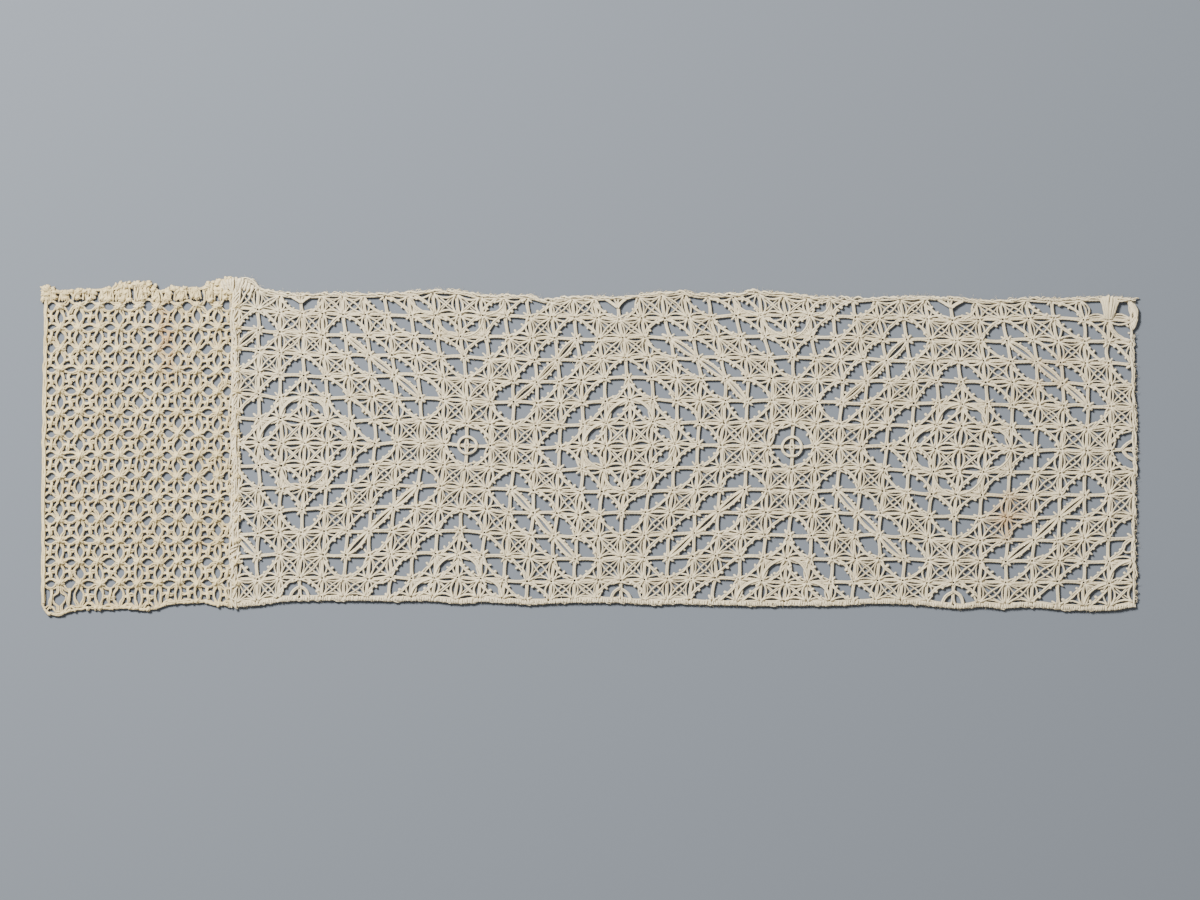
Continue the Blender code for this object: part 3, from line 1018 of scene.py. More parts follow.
for i in range(CORNER_THREADS):
    start_x, end_x = RIGHT_X + rng.uniform(-3.4, -0.6), RIGHT_X + rng.uniform(-1.6, -0.2)
    start_y, end_y = rng.uniform(44.8, 46.8), rng.uniform(36.5, 39.5)
    points = []
    for t in (0.0, 0.12, 0.35, 0.65, 0.88, 1.0):
        x = start_x + (end_x - start_x) * t + 2.0 * swell(t, 1.0) + rng.uniform(-0.15, 0.15)
        thick = vary(0.40, 0.15) * (0.35 if t in (0.0, 1.0) else 1.0)
        z = 0.42 + 0.10 * (i % 4) + 0.3 * swell(t, 1.0)
        points.append((x, start_y + (end_y - start_y) * t, z, thick))
    edge.add(points)
edge.add([(RIGHT_X + x, upper_edge(RIGHT_X) + y, z, radius) for x, y, z, radius in LOOSE_END])
print("threads at the corner:", CORNER_THREADS + 1)

# %% [markdown]
# The lower edge is bound with buttonhole stitches, short threads side by side that wrap over the edge onto a
# purl line. A band with a bump pattern would show a smooth outline, so each stitch is its own thread, and a
# few hundred of them still cost little.

# %% Buttonhole stitches
stitches = Skein("buttonhole_stitches", sides=5, flatness=0.9)
STITCH_PITCH = 0.56
for i in range(int((RIGHT_X - LEFT_X) / STITCH_PITCH)):
    x = LEFT_X + STITCH_PITCH * (i + 0.5 + rng.uniform(-0.18, 0.18))
    low_y = lower_edge(x)
    lean = rng.uniform(-0.45, 0.45)
    radius = vary(0.27, 0.2)
    top = BAND_WIDTH + rng.uniform(-0.1, 0.5)
    foot = rng.uniform(0.0, 0.28)
    stitches.add(
        [
            (x + lean, low_y + top, 0.45, radius * 0.8),
            (x + lean * 0.6, low_y + top * 0.7, 0.98, radius),
            (x, low_y + 0.35, 0.92, radius),
            (x, low_y + foot, 0.42, radius),
            (x, low_y + foot + 0.12, 0.22, radius * 0.8),
        ]
    )


def purl_route(x):
    return x, lower_edge(x) + 0.45, 0.0, 1.0


twisted(purl_route, LEFT_X, RIGHT_X + 0.5, turn=2.6, spread=0.2, radius=0.27, seed=4.5)
buttonhole_stitches = stitches.spin()

# %% [markdown]
# ## The net panel
#
# The short panel is worked closer, on a chart of its own. Its knots stand in even rows, and its outline is as
# uneven as that of the long panel.

# %% Sizes of the net panel
NET_COLUMNS = 10
NET_ROWS = 15
NET_LEFT = -169.0  # x of the first column of knots
NET_PITCH_X = 6.30
NET_TOP = 44.9  # y of the first row of knots
NET_PITCH_Y = 6.81
KNOT_STRAY = 0.45  # how far a knot strays from its neighbours' drift

# x, then the y of the upper and the lower outline there
NET_OUTLINE = (
    (-175.0, 47.6, -50.3), (-173.4, 50.4, -53.5), (-172.0, 51.2, -54.1), (-168.9, 50.0, -54.1),
    (-162.5, 50.3, -52.2), (-153.0, 50.9, -52.2), (-149.8, 52.2, -51.9), (-140.2, 52.5, -52.5),
    (-137.0, 50.0, -51.6), (-133.8, 51.2, -50.6), (-124.2, 50.9, -50.0), (-121.0, 52.5, -50.9),
    (-114.6, 54.1, -51.2), (-112.4, 54.1, -51.4),
)

# y, then the x of the left outline there
NET_LEFT_EDGE = ((-50.3, -175.0), (-34.3, -175.0), (0.0, -174.7), (30.8, -174.3), (49.7, -174.0))
NET_X, NET_UPPER, NET_LOWER = zip(*NET_OUTLINE)
NET_EDGE_Y, NET_EDGE_X = zip(*NET_LEFT_EDGE)


def net_place(u, v):
    """Where the point at knot column u and knot row v of the net panel lies."""
    column, row = min(max(u, 0.0), NET_COLUMNS - 2), min(max(v, 0.0), NET_ROWS - 2)
    x = NET_LEFT + NET_PITCH_X * column
    y = NET_TOP - NET_PITCH_Y * row
    if u < 0.0:
        x += (smooth(NET_EDGE_Y, NET_EDGE_X, y) - NET_LEFT) * -u
    if u > NET_COLUMNS - 2:
        x += (SEAM_X - 0.5 * SEAM_GAP - x) * (u - NET_COLUMNS + 2)
    if v < 0.0:
        y += (smooth(NET_X, NET_UPPER, x) - y) * -v
    if v > NET_ROWS - 2:
        y += (smooth(NET_X, NET_LOWER, x) - y) * (v - NET_ROWS + 2)
    if 0.0 <= u <= NET_COLUMNS - 2 and 0.0 <= v <= NET_ROWS - 2:
        dx, dy = wander(u + 50.0, v)
        x += dx + KNOT_STRAY * drift(1.7 * u, 1.7 * v, 61.5)
        y += dy + KNOT_STRAY * drift(1.7 * u, 1.7 * v, 71.5)
    return x + TO_CENTRE[0], y + TO_CENTRE[1]


for u, v in ((-1, 0), (9, 13)):
    print("column", u, "and row", v, "of the net:", [round(c, 1) for c in net_place(u, v)], "mm")

# %% [markdown]
# Threads bow away from each other between two knots and leave a spindle-shaped hole, upright between knots of
# one column and lying between knots of one row. Two threads lie on each side of every hole, one on top of the
# other's outer half. They stay pinched together near the knots, so the height and width of a hole are set by
# where its threads begin to part.

# %% Threads round the spindle holes
net_arcs = Skein("net_threads", sides=5)
SPINDLE = (0.0, 0.14, 0.22, 0.30, 0.39, 0.5, 0.61, 0.70, 0.78, 0.86, 1.0)
PARTED = 0.43  # share of its length at which a thread has swung out
BORDER_REACH = 0.06  # how near to the chart's border a thread's end is tucked under the border cords
STRETCHED_HOLE = (0, NET_ROWS - 2)  # near the lower left corner one hole has been pulled wide


def ease(low, high, at):
    """0 below the low place, 1 above the high one, and smooth between them."""
    t = min(max((at - low) / (high - low), 0.0), 1.0)
    return t * t * (3.0 - 2.0 * t)


def bordered(at, count):
    """A chart place, kept just inside the border."""
    return min(max(at, BORDER_REACH - 1.0), count - 1.0 - BORDER_REACH)


def bowed(u, v, upright, bow, radius, pinch, base=0.05, low=0.5, high=0.84):
    """A thread between two neighbouring knots that bows to one side for the middle of its way."""
    points = []
    base = math.copysign(base, bow)
    shift = rng.uniform(-0.06, 0.06)
    for t in SPINDLE:
        opening = ease(pinch, PARTED, t + shift) * ease(pinch, PARTED, 1.0 - t - shift)
        off = base + (bow - base) * opening
        z = draped(t, low, high)
        x, y = (u + off, v + t) if upright else (u + t, v + off)
        thick = vary(radius, 0.11)
        if min(x + 1.0, NET_COLUMNS - 1.0 - x, y + 1.0, NET_ROWS - 1.0 - y) < BORDER_REACH:
            x, y = bordered(x, NET_COLUMNS), bordered(y, NET_ROWS)
            z, thick = 0.42, 0.5 * thick
        points.append((x, y, z, thick))
    net_arcs.lay(net_place, points)


def pinched(row, upright, half):
    """Share of its length that a thread stays pinched at each end of a hole of the given half width."""
    if half > 0.3:
        return 0.29
    return 0.16 if upright else 0.14 if row == 0 else 0.17


def spindle(column, row, upright, half, apart=0.03):
    """The threads on both sides of one hole, two on each side, and none outside the border."""
    last = (NET_COLUMNS if upright else NET_ROWS) - 1
    pinch = pinched(row, upright, half)
    for side in (-1, 1):
        if (column if upright else row, side) in ((-1, -1), (last, 1)):
            continue
        bow = side * vary(half, 0.14)
        bowed(column, row, upright, bow, vary(0.36, 0.12), pinch)
        outer = bow + side * apart
        bowed(column, row, upright, outer, vary(0.34, 0.12), pinch, base=0.13, low=0.42, high=0.66)


print("points in a thread of the net:", len(SPINDLE))

# %% [markdown]
# The square between four knots is filled with a curled cross, which leaves four small holes. Each arm is two
# threads that bend together, and the upright arm passes over the lying one. The lying holes of the net are
# taller in some rows than in others, and a cross reaches no farther than they leave room for.

# %% Curled crosses, and the whole net
net_curls = Skein("net_curls", sides=5, flatness=1.0)


def curled(u, v, upright, radius, ends):
    """One arm of the curled cross in a square of the net."""
    middle = rng.uniform(-0.04, 0.04)
    bend = rng.uniform(0.02, 0.06) * rng.choice((-1, 1))
    for side in (-1, 1):
        points = []
        for t in shares(8):
            parting = side * (0.032 + 0.018 * math.cos(3 * math.pi * t))
            off = 0.5 + (middle + bend * math.sin(2 * math.pi * t) + parting)
            reach = ends[0] + (ends[1] - ends[0]) * t
            rise = swell(0.04 + 0.92 * t, 0.6)
            z = 0.22 + rise * (0.58 if upright else 0.36) + 0.08 * side * math.sin(5.0 * t)
            x, y = (u + off, v + reach) if upright else (u + reach, v + off)
            points.append((x, y, z, vary(radius, 0.12) * (0.6 + 0.4 * rise)))
        net_curls.lay(net_place, points)


def lying(row):
    """Half the height of the lying holes of a knot row, as a share of the pitch."""
    return 0.27 if row == 0 else 0.19 if row % 2 else 0.24


def upright_half(column, row):
    """Half the width of an upright hole, as a share of the pitch."""
    if (column, row) == STRETCHED_HOLE:
        return 0.33
    return vary(0.195, 0.35 if row == NET_ROWS - 2 else 0.22)


for column in range(-1, NET_COLUMNS):
    for row in range(-1, NET_ROWS):
        between_rows = 0 <= row < NET_ROWS - 1
        if between_rows:
            spindle(column, row, True, upright_half(column, row))
        if column < NET_COLUMNS - 1:
            spindle(column, row, False, vary(lying(row), 0.18))
            if between_rows:
                curled(column, row, True, vary(0.38, 0.15), (lying(row) - 0.02, 1.02 - lying(row + 1)))
                if column > 0 or row != STRETCHED_HOLE[1]:
                    curled(column, row, False, vary(0.38, 0.15), (0.18, 0.82))
net_threads = net_arcs.spin()
net_curl_threads = net_curls.spin()

# %% [markdown]
# ## Knots
#
# A knot of the net is a dense little star of crossing threads. A ball would be far too smooth, so each knot
# is seven short rays through one middle. They lie one on the other, and their ends dip down between the
# threads of the net.

# %% Knots of the net
net_knots = Skein("net_knots", sides=6, flatness=0.9)
# direction in degrees, and half the length
KNOT_RAYS = ((0.0, 1.65), (35.0, 1.5), (90.0, 1.2), (145.0, 1.5), (18.0, 1.5), (162.0, 1.5), (65.0, 1.3))
# share of half a ray's length, how far it has dipped there, and its radius
KNOT_RAY = ((-1.0, 0.5, 0.14), (-0.55, 0.10, 0.38), (0.0, 0.0, 0.34), (0.55, 0.10, 0.38), (1.0, 0.5, 0.14))


def knot(x, y, z=0.90, share=1.0, turn=0.0, rays=7):
    """A dense little star of crossing threads."""
    turn += rng.uniform(-10.0, 10.0)
    for i, (direction, length) in enumerate(KNOT_RAYS[:rays]):
        angle = math.radians(turn + direction + rng.uniform(-8.0, 8.0))
        bent = angle + rng.uniform(-0.35, 0.35)
        length = vary(length, 0.2) * share
        height = z + 0.06 * i + rng.uniform(-0.06, 0.1)
        points = []
        for reach, dip, radius in KNOT_RAY:
            across, up = toward(length * reach, angle if abs(reach) < 1.0 else bent)
            across, up = x + across + rng.uniform(-0.1, 0.1), y + up + rng.uniform(-0.1, 0.1)
            points.append((across, up, height - dip, vary(radius, 0.2)))
        net_knots.add(points)


for column in range(NET_COLUMNS):
    for row in range(NET_ROWS - 1):
        knot(*net_place(column, row))
print("knots:", NET_COLUMNS * (NET_ROWS - 1))

# %% [markdown]
# ## Borders of the net panel
#
# The net's left side is a smooth selvage of two cords. One cord runs along its upper end and two along its
# lower end, and they are more uneven, because they were pulled tight when the net was cut to length and
# bound.

# %% Border cords
borders = Skein("net_borders", sides=6)

for offset, radius, height in ((0.40, 0.36, 0.6), (0.95, 0.38, 0.8)):
    points = []
    for y in walk(-50.0, 48.6, 0.8):
        x = smooth(NET_EDGE_Y, NET_EDGE_X, y) + offset + 0.4 * drift(0.35 * y, offset, 7.5)
        points.append((x, y, height, radius * (1.0 + 0.15 * drift(0.8 * y, offset, 1.5))))
    borders.add(points)
for outline, inward, offset, height, radius in (
    (NET_UPPER, -1.0, 0.7, 0.45, 0.40),
    (NET_LOWER, 1.0, 0.5, 0.5, 0.38),
    (NET_LOWER, 1.0, 0.85, 0.6, 0.30),
):
    points = []
    for x in walk(NET_X[0] + 0.3, NET_X[-1], 0.9):
        stray = 0.7 * drift(0.45 * x, inward * (offset + 3.0), 11.5)
        thick = radius * (1.0 + 0.4 * drift(0.8 * x, offset, 3.5))
        points.append((x, smooth(NET_X, outline, x) + inward * (offset + stray), height, thick))
    borders.add(points)
print("border cords:", len(borders.threads))

# %% [markdown]
# The upper end of the net is gathered. Short upright threads stand side by side between its uppermost holes
# and the cord, and every few millimetres a small hole is left between them. The places of these holes are
# kept, because the lumps that follow must not cover them.

# %% Gathered threads of the upper end
GATHER_STEP = 0.66
GATHER_FOOT = 1.75  # above the first row of knots
HOLE_EVERY = 4.4
HOLE_HALF = 0.60
HOLE_HEIGHTS = (0.7, 0.9, 1.3, 2.2)
small_holes = []


def upper_net(x):
    return smooth(NET_X, NET_UPPER, x)


def gather_foot(x):
    """y where the gathered threads meet the uppermost holes of the net."""
    return net_place((x - NET_LEFT) / NET_PITCH_X, 0)[1] + GATHER_FOOT


x, next_hole = NET_X[0] + 0.7, NET_X[0] + 5.6
while x < NET_X[-1] - 1.0:
    if x > next_hole - HOLE_HALF:
        small_holes.append((next_hole, gather_foot(next_hole) + rng.choice(HOLE_HEIGHTS)))
        x, next_hole = next_hole + HOLE_HALF, next_hole + HOLE_EVERY * rng.uniform(0.7, 1.3)
    top, foot = upper_net(x) - rng.uniform(0.2, 0.7), gather_foot(x) + rng.uniform(-0.25, 0.25)
    lean, high = rng.uniform(-1.0, 1.0), rng.uniform(0.5, 0.9)
    points = []
    for t in (0.0, 0.15, 0.4, 0.65, 0.88, 1.0):
        thick = vary(0.40, 0.3) * (0.6 if t in (0.0, 1.0) else 1.0)
        z = 0.42 + (high - 0.42) * swell(0.1 + 0.8 * t, 0.6)
        points.append((x + lean * (t - 0.5) + rng.uniform(-0.2, 0.2), foot + (top - foot) * t, z, thick))
    borders.add(points)
    x += GATHER_STEP * rng.uniform(0.8, 1.2)
print("small holes between the gathered threads:", len(small_holes))

# %% [markdown]
# Over the gathered threads lies a crust of small knots, in two or three uneven rows, and a few more stand
# along the lower end and at the upper left corner. They are the same star as a knot of the net, smaller and
# with fewer rays, turned any way. Bare upright threads would look like a row of teeth.

# %% Lumps on the ends of the net
LUMP_STEP = 1.6  # from one lump to the next
LUMP_LEVEL = 1.7  # from one row of lumps to the next
HOLE_CLEAR = (1.15, 1.45)  # how far from the middle of a small hole, across and up, a lump may stand
LOWER_LUMPS = 22
CORNER_LUMPS = 6


def lump(x, y, z, share, rays=5):
    """A small knot, turned any way."""
    knot(x, y, z, share, rng.uniform(-90.0, 90.0), rays)


def lump_by_holes(x, y, z, share):
    """A lump, unless it would cover one of the small holes."""
    if all(abs(x - hole[0]) > HOLE_CLEAR[0] or abs(y - hole[1]) > HOLE_CLEAR[1] for hole in small_holes):
        lump(x, y, z, share)


x = NET_X[0] + 1.4
while x < NET_X[-1] - 1.0:
    low_y, top_y = gather_foot(x) + 0.7, upper_net(x) - 1.3
    levels = max(round((top_y - low_y) / LUMP_LEVEL), 1)
    for i in range(levels + 1):
        y = low_y + (top_y - low_y) * i / levels + rng.uniform(-0.45, 0.45)
        lump_by_holes(x + rng.uniform(-0.7, 0.7), y, rng.uniform(0.6, 0.95), rng.uniform(0.62, 0.92))
    near_x, near_y = x + rng.uniform(-0.7, 0.7), top_y + rng.uniform(0.5, 1.15)
    lump_by_holes(near_x, near_y, rng.uniform(0.5, 0.8), rng.uniform(0.35, 0.6))
    x += LUMP_STEP * rng.uniform(0.75, 1.25)
for i in range(LOWER_LUMPS):
    share = (i + rng.uniform(-0.4, 0.4)) / (LOWER_LUMPS - 1)
    x = NET_X[0] + 3.0 + (NET_X[-1] - NET_X[0] - 4.0) * share
    y = smooth(NET_X, NET_LOWER, x) + rng.uniform(0.25, 0.9)
    lump(x, y, rng.uniform(0.5, 0.8), rng.uniform(0.3, 0.62), rays=4)
for i in range(CORNER_LUMPS):
    x, y = NET_X[0] + rng.uniform(0.8, 3.0), rng.uniform(47.6, 50.4)
    knot(x, y, rng.uniform(0.8, 1.1), 0.8, 60.0 * i, 5)
net_knot_stars = net_knots.spin()
net_border_threads = borders.spin()

# %% [markdown]
# ## The seam
#
# The two panels are overcast together. Long threads run up and down the ridge, and short stitches cross them
# at a slant. A single ridge with a bump map would look flat in a low view, while crossing threads catch the
# light from every side.

# %% The seam
seam = Skein("seam_overcasting", sides=7)
SEAM_TOP = 53.0
SEAM_FOOT = -51.6
SEAM_MIDDLE = SEAM_X - 0.75
SEAM_SIDE = 1.15  # how far the long threads reach to each side
SEAM_LEAN = 0.008  # how far the seam moves to the right for each millimetre up
LONG_THREADS = 6
LONG_RADIUS = 0.30
SHORT_STITCHES = 64


def seam_place(across, y):
    """x in the seam: across runs from -1 at its left side to 1 at its right side."""
    return SEAM_MIDDLE + SEAM_LEAN * y + SEAM_SIDE * across + 0.35 * drift(0.06 * y, 2.5, 13.5)


for i in range(LONG_THREADS):
    points = []
    for y in walk(SEAM_FOOT + rng.uniform(0.0, 1.2), SEAM_TOP, 1.3):
        across = 2 * i / (LONG_THREADS - 1) - 1 + 0.85 * drift(0.13 * y, 3.1 * i, 13.5)
        z = 1.0 + 0.95 * drift(0.21 * y, 2.3 * i, 17.5) - 0.40 * abs(across)
        points.append((seam_place(across, y), y, z, vary(LONG_RADIUS, 0.2)))
    seam.add(points)
for i in range(SHORT_STITCHES):
    share = i / (SHORT_STITCHES - 1)
    y = SEAM_FOOT + 0.8 + (SEAM_TOP - SEAM_FOOT - 5.0) * share + rng.uniform(-0.5, 0.5)
    rise = rng.choice((-1.0, 1.0, 1.0)) * rng.uniform(1.0, 4.5)
    left, right = -rng.uniform(0.5, 1.3), rng.uniform(0.5, 1.25)
    points = []
    for t in shares(5):
        x = seam_place(left + (right - left) * t, y)
        z = 0.4 + 0.75 * swell(0.1 + 0.8 * t, 0.8)
        points.append((x, max(y + rise * (t - 0.5), SEAM_FOOT - 0.2), z, vary(0.28, 0.2)))
    seam.add(points)
print("threads and stitches along the seam:", len(seam.threads))

# %% [markdown]
# At the top the sewing thread was gathered into a bunch. It is a row of short stout threads side by side, and
# the outer ones are drawn inwards at their feet, as a thread is that pulls a fold together.

# %% The bunch at the top of the seam
BUNCH_THREADS = 22
BUNCH_TOP = 54.0
BUNCH_WIDTH = 9.6
BUNCH_REACH = 4.6  # how far it reaches to the left of the seam
for i in range(BUNCH_THREADS):
    x = SEAM_X - BUNCH_REACH + BUNCH_WIDTH * i / (BUNCH_THREADS - 1) + rng.uniform(-0.35, 0.35)
    top = BUNCH_TOP - 0.09 * (x - SEAM_X) ** 2 * (1.0 if x > SEAM_X else 0.35) - rng.uniform(0.0, 0.5)
    foot = top - rng.uniform(1.8, 4.6)
    inward = 0.3 * (SEAM_X - x) + rng.uniform(-0.8, 0.8)
    points = []
    for t in shares(6):
        z = 0.5 + 0.6 * swell(0.15 + 0.85 * t, 0.7) + rng.uniform(-0.15, 0.15)
        points.append((x + inward * t * t, top + (foot - top) * t, z, vary(0.42, 0.3)))
    seam.add(points)
seam_overcasting = seam.spin()
# the edges of the long panel have all their threads too
edge_cords = edge.spin()
edge_loops = loops.spin()

# %% [markdown]
# ## Stray fibres
#
# Linen is hairy. Some fifteen hundred thin fibres stand out of the edges and lie across the threads, and they
# are what keeps an outline from looking machine-made. Blender's hair particles would be quicker to set up,
# but they are not part of the mesh that is kept. Three sides are enough for something so thin.

# %% Fibres
fibres = Skein("stray_fibres", sides=3, flatness=1.0)
UPPER_FIBRES = 430
LOWER_FIBRES = 260
RIGHT_FIBRES = 150
LATTICE_FIBRES = 700
FIBRE_RADIUS = 0.042


def fibre(x, y, z, facing, length, radius=FIBRE_RADIUS):
    """A thin curly fibre that starts at a place in millimetres and faces the given way, in degrees."""
    points = []
    bend = rng.uniform(-55.0, 55.0)
    for t in shares(5):
        points.append((x, y, max(z, 0.08), radius * (1.0 - 0.6 * t)))
        across, up = toward(length / 4, math.radians(facing + bend * t))
        x, y, z = x + across, y + up, z + rng.uniform(-0.16, 0.14)
    fibres.add(points)


for i in range(UPPER_FIBRES):
    x = rng.uniform(LEFT_X + 1.0, RIGHT_X)
    fibre(x, upper_edge(x) - 0.5, 0.7, rng.uniform(10.0, 170.0), rng.uniform(0.8, 2.2))
for i in range(LOWER_FIBRES):
    x = rng.uniform(LEFT_X + 1.0, RIGHT_X)
    fibre(x, lower_edge(x) + 0.5, 0.5, rng.uniform(-170.0, -10.0), rng.uniform(0.7, 1.4))
for i in range(RIGHT_FIBRES):
    y = rng.uniform(*RIGHT_SPAN)
    fibre(right_edge(y) + 0.3, y, 0.7, rng.uniform(-80.0, 80.0), rng.uniform(0.8, 2.0))
for i in range(LATTICE_FIBRES):
    x, y = diamond_place(rng.uniform(0.5, COLUMNS - 0.5), rng.randint(1, ROWS - 1) + rng.uniform(-0.06, 0.06))
    fibre(x, y, 0.9, rng.uniform(0.0, 360.0), rng.uniform(1.0, 2.2), 0.035)
stray_fibres = fibres.spin()
print("triangles in all:", sum(Skein.made))

# %% [markdown]
# ## Finish of the linen
#
# Linen yarn is spun, so its surface shows slanting ridges, and it is matt, with fine fibres that catch light.
# Old linen is never one colour, and it has faint stains. Its colour is also painted darker low down, on the
# sides of the threads and in the grooves of the yarn, as painted shade. All of this is worked out from the
# place in the piece and from the length along each thread, so nothing needs an image.
#
# Writing node links by hand is hard to read. The class Value lets a material be written as arithmetic, and
# each operator adds its own Math node. The reflected forms let a plain number stand first, as in 1 - mask.

# %% Values that a material works out
class Value:
    """A number, colour or vector that comes out of a node."""

    def __init__(self, finish, socket):
        self.finish = finish
        self.socket = socket

    def math(self, operation, *others):
        return self.finish.node("ShaderNodeMath", [self, *others], operation=operation)

    def __add__(self, other):
        return self.math("ADD", other)

    def __mul__(self, other):
        return self.math("MULTIPLY", other)

    def __truediv__(self, other):
        return self.math("DIVIDE", other)

    def __rsub__(self, other):
        return self.finish.node("ShaderNodeMath", [other, self], operation="SUBTRACT")

    __radd__ = __add__
    __rmul__ = __mul__


print("reflected operators:", [name for name in vars(Value) if name.startswith("__r")])

# %% [markdown]
# A finish is a material that grows one node at a time. Its method `node` takes the kind of node, its settings
# and the values or links of its sockets, and the other methods are the few recipes that the linen needs: one
# axis of a vector, a smooth step, soft noise, a mix of two colours, and an oval spot.

# %% A finish is a material with its own node tree
class Finish:
    """A material whose nodes are added one at a time."""

    def __init__(self, name):
        self.material = bpy.data.materials.new(name)
        self.material.use_nodes = True
        self.tree = self.material.node_tree
        self.shader = self.tree.nodes["Principled BSDF"]

    def plug(self, socket, value):
        """Links a socket to another node's value, or sets it to a plain one."""
        if isinstance(value, Value):
            self.tree.links.new(value.socket, socket)
        else:
            socket.default_value = value

    def node(self, kind, inputs, output=0, **settings):
        """The output of a new node. Inputs are a list by place, or a dictionary by name or number."""
        made = self.tree.nodes.new(kind)
        for name, setting in settings.items():
            setattr(made, name, setting)
        for name, value in enumerate(inputs) if isinstance(inputs, list) else inputs.items():
            self.plug(made.inputs[name], value)
        return Value(self, made.outputs[output])

    def axis(self, vector, name):
        """One of the three numbers of a vector: X, Y or Z."""
        return self.node("ShaderNodeSeparateXYZ", [vector], output=name)

    def step(self, value, low, high):
        """0 below the low value, 1 above the high one, and smooth between them."""
        inputs = {"Value": value, "From Min": low, "From Max": high}
        return self.node("ShaderNodeMapRange", inputs, interpolation_type="SMOOTHSTEP")

    def grain(self, place, scale, detail=2.0, low=0.3, high=0.7):
        """Soft noise from 0 to 1. The scale is in spots to the metre."""
        inputs = {"Vector": place, "Scale": scale, "Detail": detail}
        return self.step(self.node("ShaderNodeTexNoise", inputs), low, high)

    def mix(self, share, first, second):
        """A colour between two colours."""
        return self.node("ShaderNodeMix", {0: share, 6: first, 7: second}, output=2, data_type="RGBA")

    def spot(self, place, x, y, width, height):
        """1 in the middle of an oval spot, given in millimetres, falling to 0 at its rim."""
        centre = self.node("ShaderNodeVectorMath", [place, (x * MM, y * MM, 0.0)], operation="SUBTRACT")
        size = (2.0 / (width * MM), 2.0 / (height * MM), 0.0)
        scaled = self.node("ShaderNodeVectorMath", [centre, size], operation="MULTIPLY")
        distance = self.node("ShaderNodeVectorMath", [scaled], output="Value", operation="LENGTH")
        return 1 - self.step(distance, 0.2, 1.0)


print("methods of a finish:", [name for name in vars(Finish) if not name.startswith("_")])

# %% [markdown]
# The linen of both panels is one recipe with different colours. The yarn's ridges come from the length along
# the thread and the way round it, which the UV map keeps. The recess colour is painted shade: it gathers low
# down and on the sides of the threads, where less light gets in. Each stain is an oval whose rim the noise
# breaks up.

# %% The linen finish
TWIST_LENGTH = 1.1 * MM  # of yarn, for one turn of its plies
PLIES = 2
FIBRE_GRAIN = 5200.0  # spots to the metre, from the finest to the largest
FLECK_GRAIN = 1500.0
PATCH_GRAIN = 260.0
MOTTLE_GRAIN = 95.0
# painted shade: the recess colour darkens the foot and the sides of each thread, where less light reaches
LOW_PAINTED_SHADE = 0.78  # share of the recess colour at the foot of the threads
PAINTED_SHADE_HEIGHTS = (0.20 * MM, 0.95 * MM)  # between which that share falls to nothing
SIDE_PAINTED_SHADE = 0.62  # its share on the sides of the threads


def linen(name, bright, shade, painted_recess_shade, stain, stains):
    """Linen yarn that has its twist along each thread, painted shade in its recesses and a few old stains."""
    finish = Finish(name)
    # where a point lies in the piece, and where it lies on its thread
    place = finish.node("ShaderNodeTexCoord", [], output="Object")
    level = finish.axis(place, "Z")
    thread = finish.node("ShaderNodeUVMap", [], uv_map="UVMap")
    along, around = finish.axis(thread, "X"), finish.axis(thread, "Y")
    turns = along / TWIST_LENGTH + around * PLIES
    ridge = (turns * 2 * math.pi).math("SINE") * 0.5 + 0.5
    fibre = finish.grain(place, FIBRE_GRAIN, detail=3.0)
    fleck = finish.grain(place, FLECK_GRAIN, low=0.35, high=0.68)
    mottle = finish.grain(place, MOTTLE_GRAIN, detail=3.0)
    # from bright to shade in soft mottling and flecks, painted shade in the grooves between the ridges, and a
    # darker tone between fibres
    colour = finish.mix(mottle * 0.55 + fleck * 0.3, bright, shade)
    colour = finish.mix((1 - ridge) * 0.12 + (1 - fibre) * 0.14, colour, painted_recess_shade)
    # painted shade low down and on the sides of the threads, where less light reaches
    height = finish.step(level, *PAINTED_SHADE_HEIGHTS)
    colour = finish.mix((1 - height) * LOW_PAINTED_SHADE, colour, painted_recess_shade)
    # painted shade: the more a surface faces sideways, the darker it is painted, as if in shade
    facing = finish.node("ShaderNodeTexCoord", [], output="Normal")
    upward = finish.step(finish.axis(facing, "Z"), 0.05, 0.92)
    colour = finish.mix((1 - upward) * SIDE_PAINTED_SHADE, colour, painted_recess_shade)
    # stains, broken up by patches
    patches = finish.grain(place, PATCH_GRAIN, low=0.35, high=0.65)
    for x, y, width, tall, strength in stains:
        share = finish.spot(place, x, y, width, tall) * (patches * 0.6 + 0.4) * strength
        colour = finish.mix(share, colour, stain)
    finish.plug(finish.shader.inputs["Base Color"], colour)
    finish.plug(finish.shader.inputs["Roughness"], 0.80 + fleck * 0.15)
    relief = ridge * 0.7 + fibre * 0.5
    bump = finish.node("ShaderNodeBump", {"Strength": 0.7, "Distance": 0.07 * MM, "Height": relief})
    finish.plug(finish.shader.inputs["Normal"], bump)
    finish.shader.inputs["Sheen Weight"].default_value = 0.25
    finish.shader.inputs["Sheen Roughness"].default_value = 0.5
    print(f"{name}: {len(finish.tree.nodes)} nodes, {len(stains)} stains")
    return finish.material


# each stain: x, y, width and height in millimetres, and strength
pale = linen(
    "pale_linen_threads",
    bright=(0.835, 0.715, 0.47, 1.0),
    shade=(0.64, 0.535, 0.325, 1.0),
    painted_recess_shade=(0.20, 0.155, 0.085, 1.0),
    stain=(0.40, 0.26, 0.13, 1.0),
    stains=((134.0, -22.0, 21.0, 24.0, 0.85), (147.0, 23.0, 24.0, 22.0, 0.28), (23.0, -44.0, 14.0, 8.0, 0.2)),
)
creamy = linen(
    "creamy_linen_threads",
    bright=(0.805, 0.66, 0.35, 1.0),
    shade=(0.56, 0.435, 0.205, 1.0),
    painted_recess_shade=(0.22, 0.155, 0.075, 1.0),
    stain=(0.42, 0.25, 0.11, 1.0),
    stains=(
        (-135.0, 33.0, 9.0, 38.0, 0.8),
        (-124.3, -31.5, 7.0, 7.0, 0.45),
        (-160.0, -12.0, 26.0, 30.0, 0.18),
    ),
)
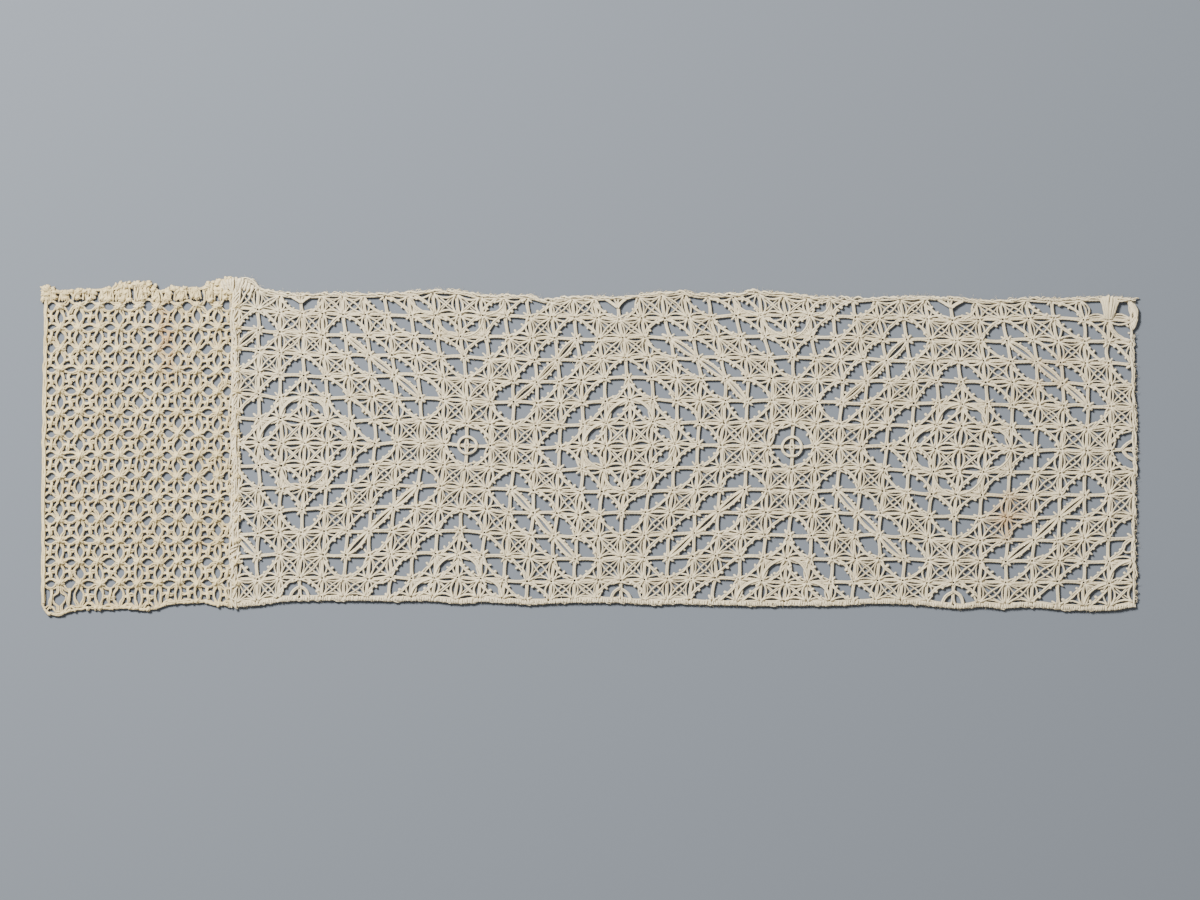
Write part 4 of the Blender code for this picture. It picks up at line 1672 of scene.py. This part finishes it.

# %% [markdown]
# ## Joining the frame
#
# Every piece rides on the one body of the frame and takes one of the two linen finishes, and the plain solids
# of both panels are then hidden. The seam is sewn in the pale thread, so it belongs to the long panel.

# %% Finish and ride
DIAMOND_PIECES = [
    lattice_bars,
    crossing_rings,
    side_threads,
    star_threads,
    slanting_threads,
    picot_pegs,
    buttonhole_stitches,
    edge_cords,
    edge_loops,
    stray_fibres,
    seam_overcasting,
]
NET_PIECES = [net_threads, net_curl_threads, net_knot_stars, net_border_threads]
for piece in DIAMOND_PIECES:
    piece.data.materials.append(pale)
    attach(piece, "root")
for piece in NET_PIECES:
    piece.data.materials.append(creamy)
    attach(piece, "root")
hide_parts("diamond_panel")
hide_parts("net_panel")
print("pieces:", len(DIAMOND_PIECES) + len(NET_PIECES))

# %% [markdown]
# Both panels are sheets of cloth laid flat, and more than a quarter of the long panel is air.

# %% [markdown]
# ## Floor, light and camera
#
# A plain floor lets the open squares show. Its grey is paler than the shadows and darker than the linen,
# because off-white lace would vanish on white. One soft lamp from the upper left gives every thread a bright
# and a dark side, and an even sky fills the shadows. A larger lamp would give softer shadows, and this one is
# small enough for the shadow of each thread to show.

# %% Floor and light
bpy.ops.mesh.primitive_plane_add(size=3.0, location=(0.0, 0.0, -0.0001))
floor = bpy.context.object
floor.name = "floor"
floor_finish = Finish("pale_floor")
floor_finish.shader.inputs["Base Color"].default_value = (0.135, 0.15, 0.17, 1.0)
floor_finish.shader.inputs["Roughness"].default_value = 0.9
floor.data.materials.append(floor_finish.material)

world = bpy.data.worlds.new("soft_studio")
bpy.context.scene.world = world
world.use_nodes = True
sky = world.node_tree.nodes["Background"].inputs
sky["Color"].default_value = (1.0, 1.0, 1.0, 1.0)
sky["Strength"].default_value = 0.42

key = bpy.data.lights.new("key", "AREA")
key.energy = 54.0
key.size = 0.3
key_lamp = bpy.data.objects.new("key", key)
key_lamp.location = (-0.62, 0.74, 0.84)
key_lamp.rotation_euler = key_lamp.location.to_track_quat("Z", "Y").to_euler()
bpy.context.scene.collection.objects.link(key_lamp)
print("lamp:", key.energy, "watts,", round(key_lamp.location.length, 2), "m from the lace")

# %% [markdown]
# The camera looks straight down. It stands far off and has a long lens, so that the edges of the lace look as
# flat as its middle. An orthographic camera would be as flat, but a low view looks right only with some
# perspective.

# %% Camera
VIEW_WIDTH = 0.3832  # metres across the picture, at the lace
VIEW_CENTRE = (0.00348, -0.00112)
CAMERA_HEIGHT = 1.5
lens = bpy.data.cameras.new("camera")
lens.sensor_width = 36.0
lens.lens = lens.sensor_width * CAMERA_HEIGHT / VIEW_WIDTH
camera = bpy.data.objects.new("camera", lens)
camera.location = (*VIEW_CENTRE, CAMERA_HEIGHT)
bpy.context.scene.collection.objects.link(camera)
bpy.context.scene.camera = camera
print("focal length:", round(lens.lens, 1), "mm")

# %% [markdown]
# ## Sizes
#
# The finished lace is made to fill the same box as the plain solids, apart from the little that threads may
# stand proud.
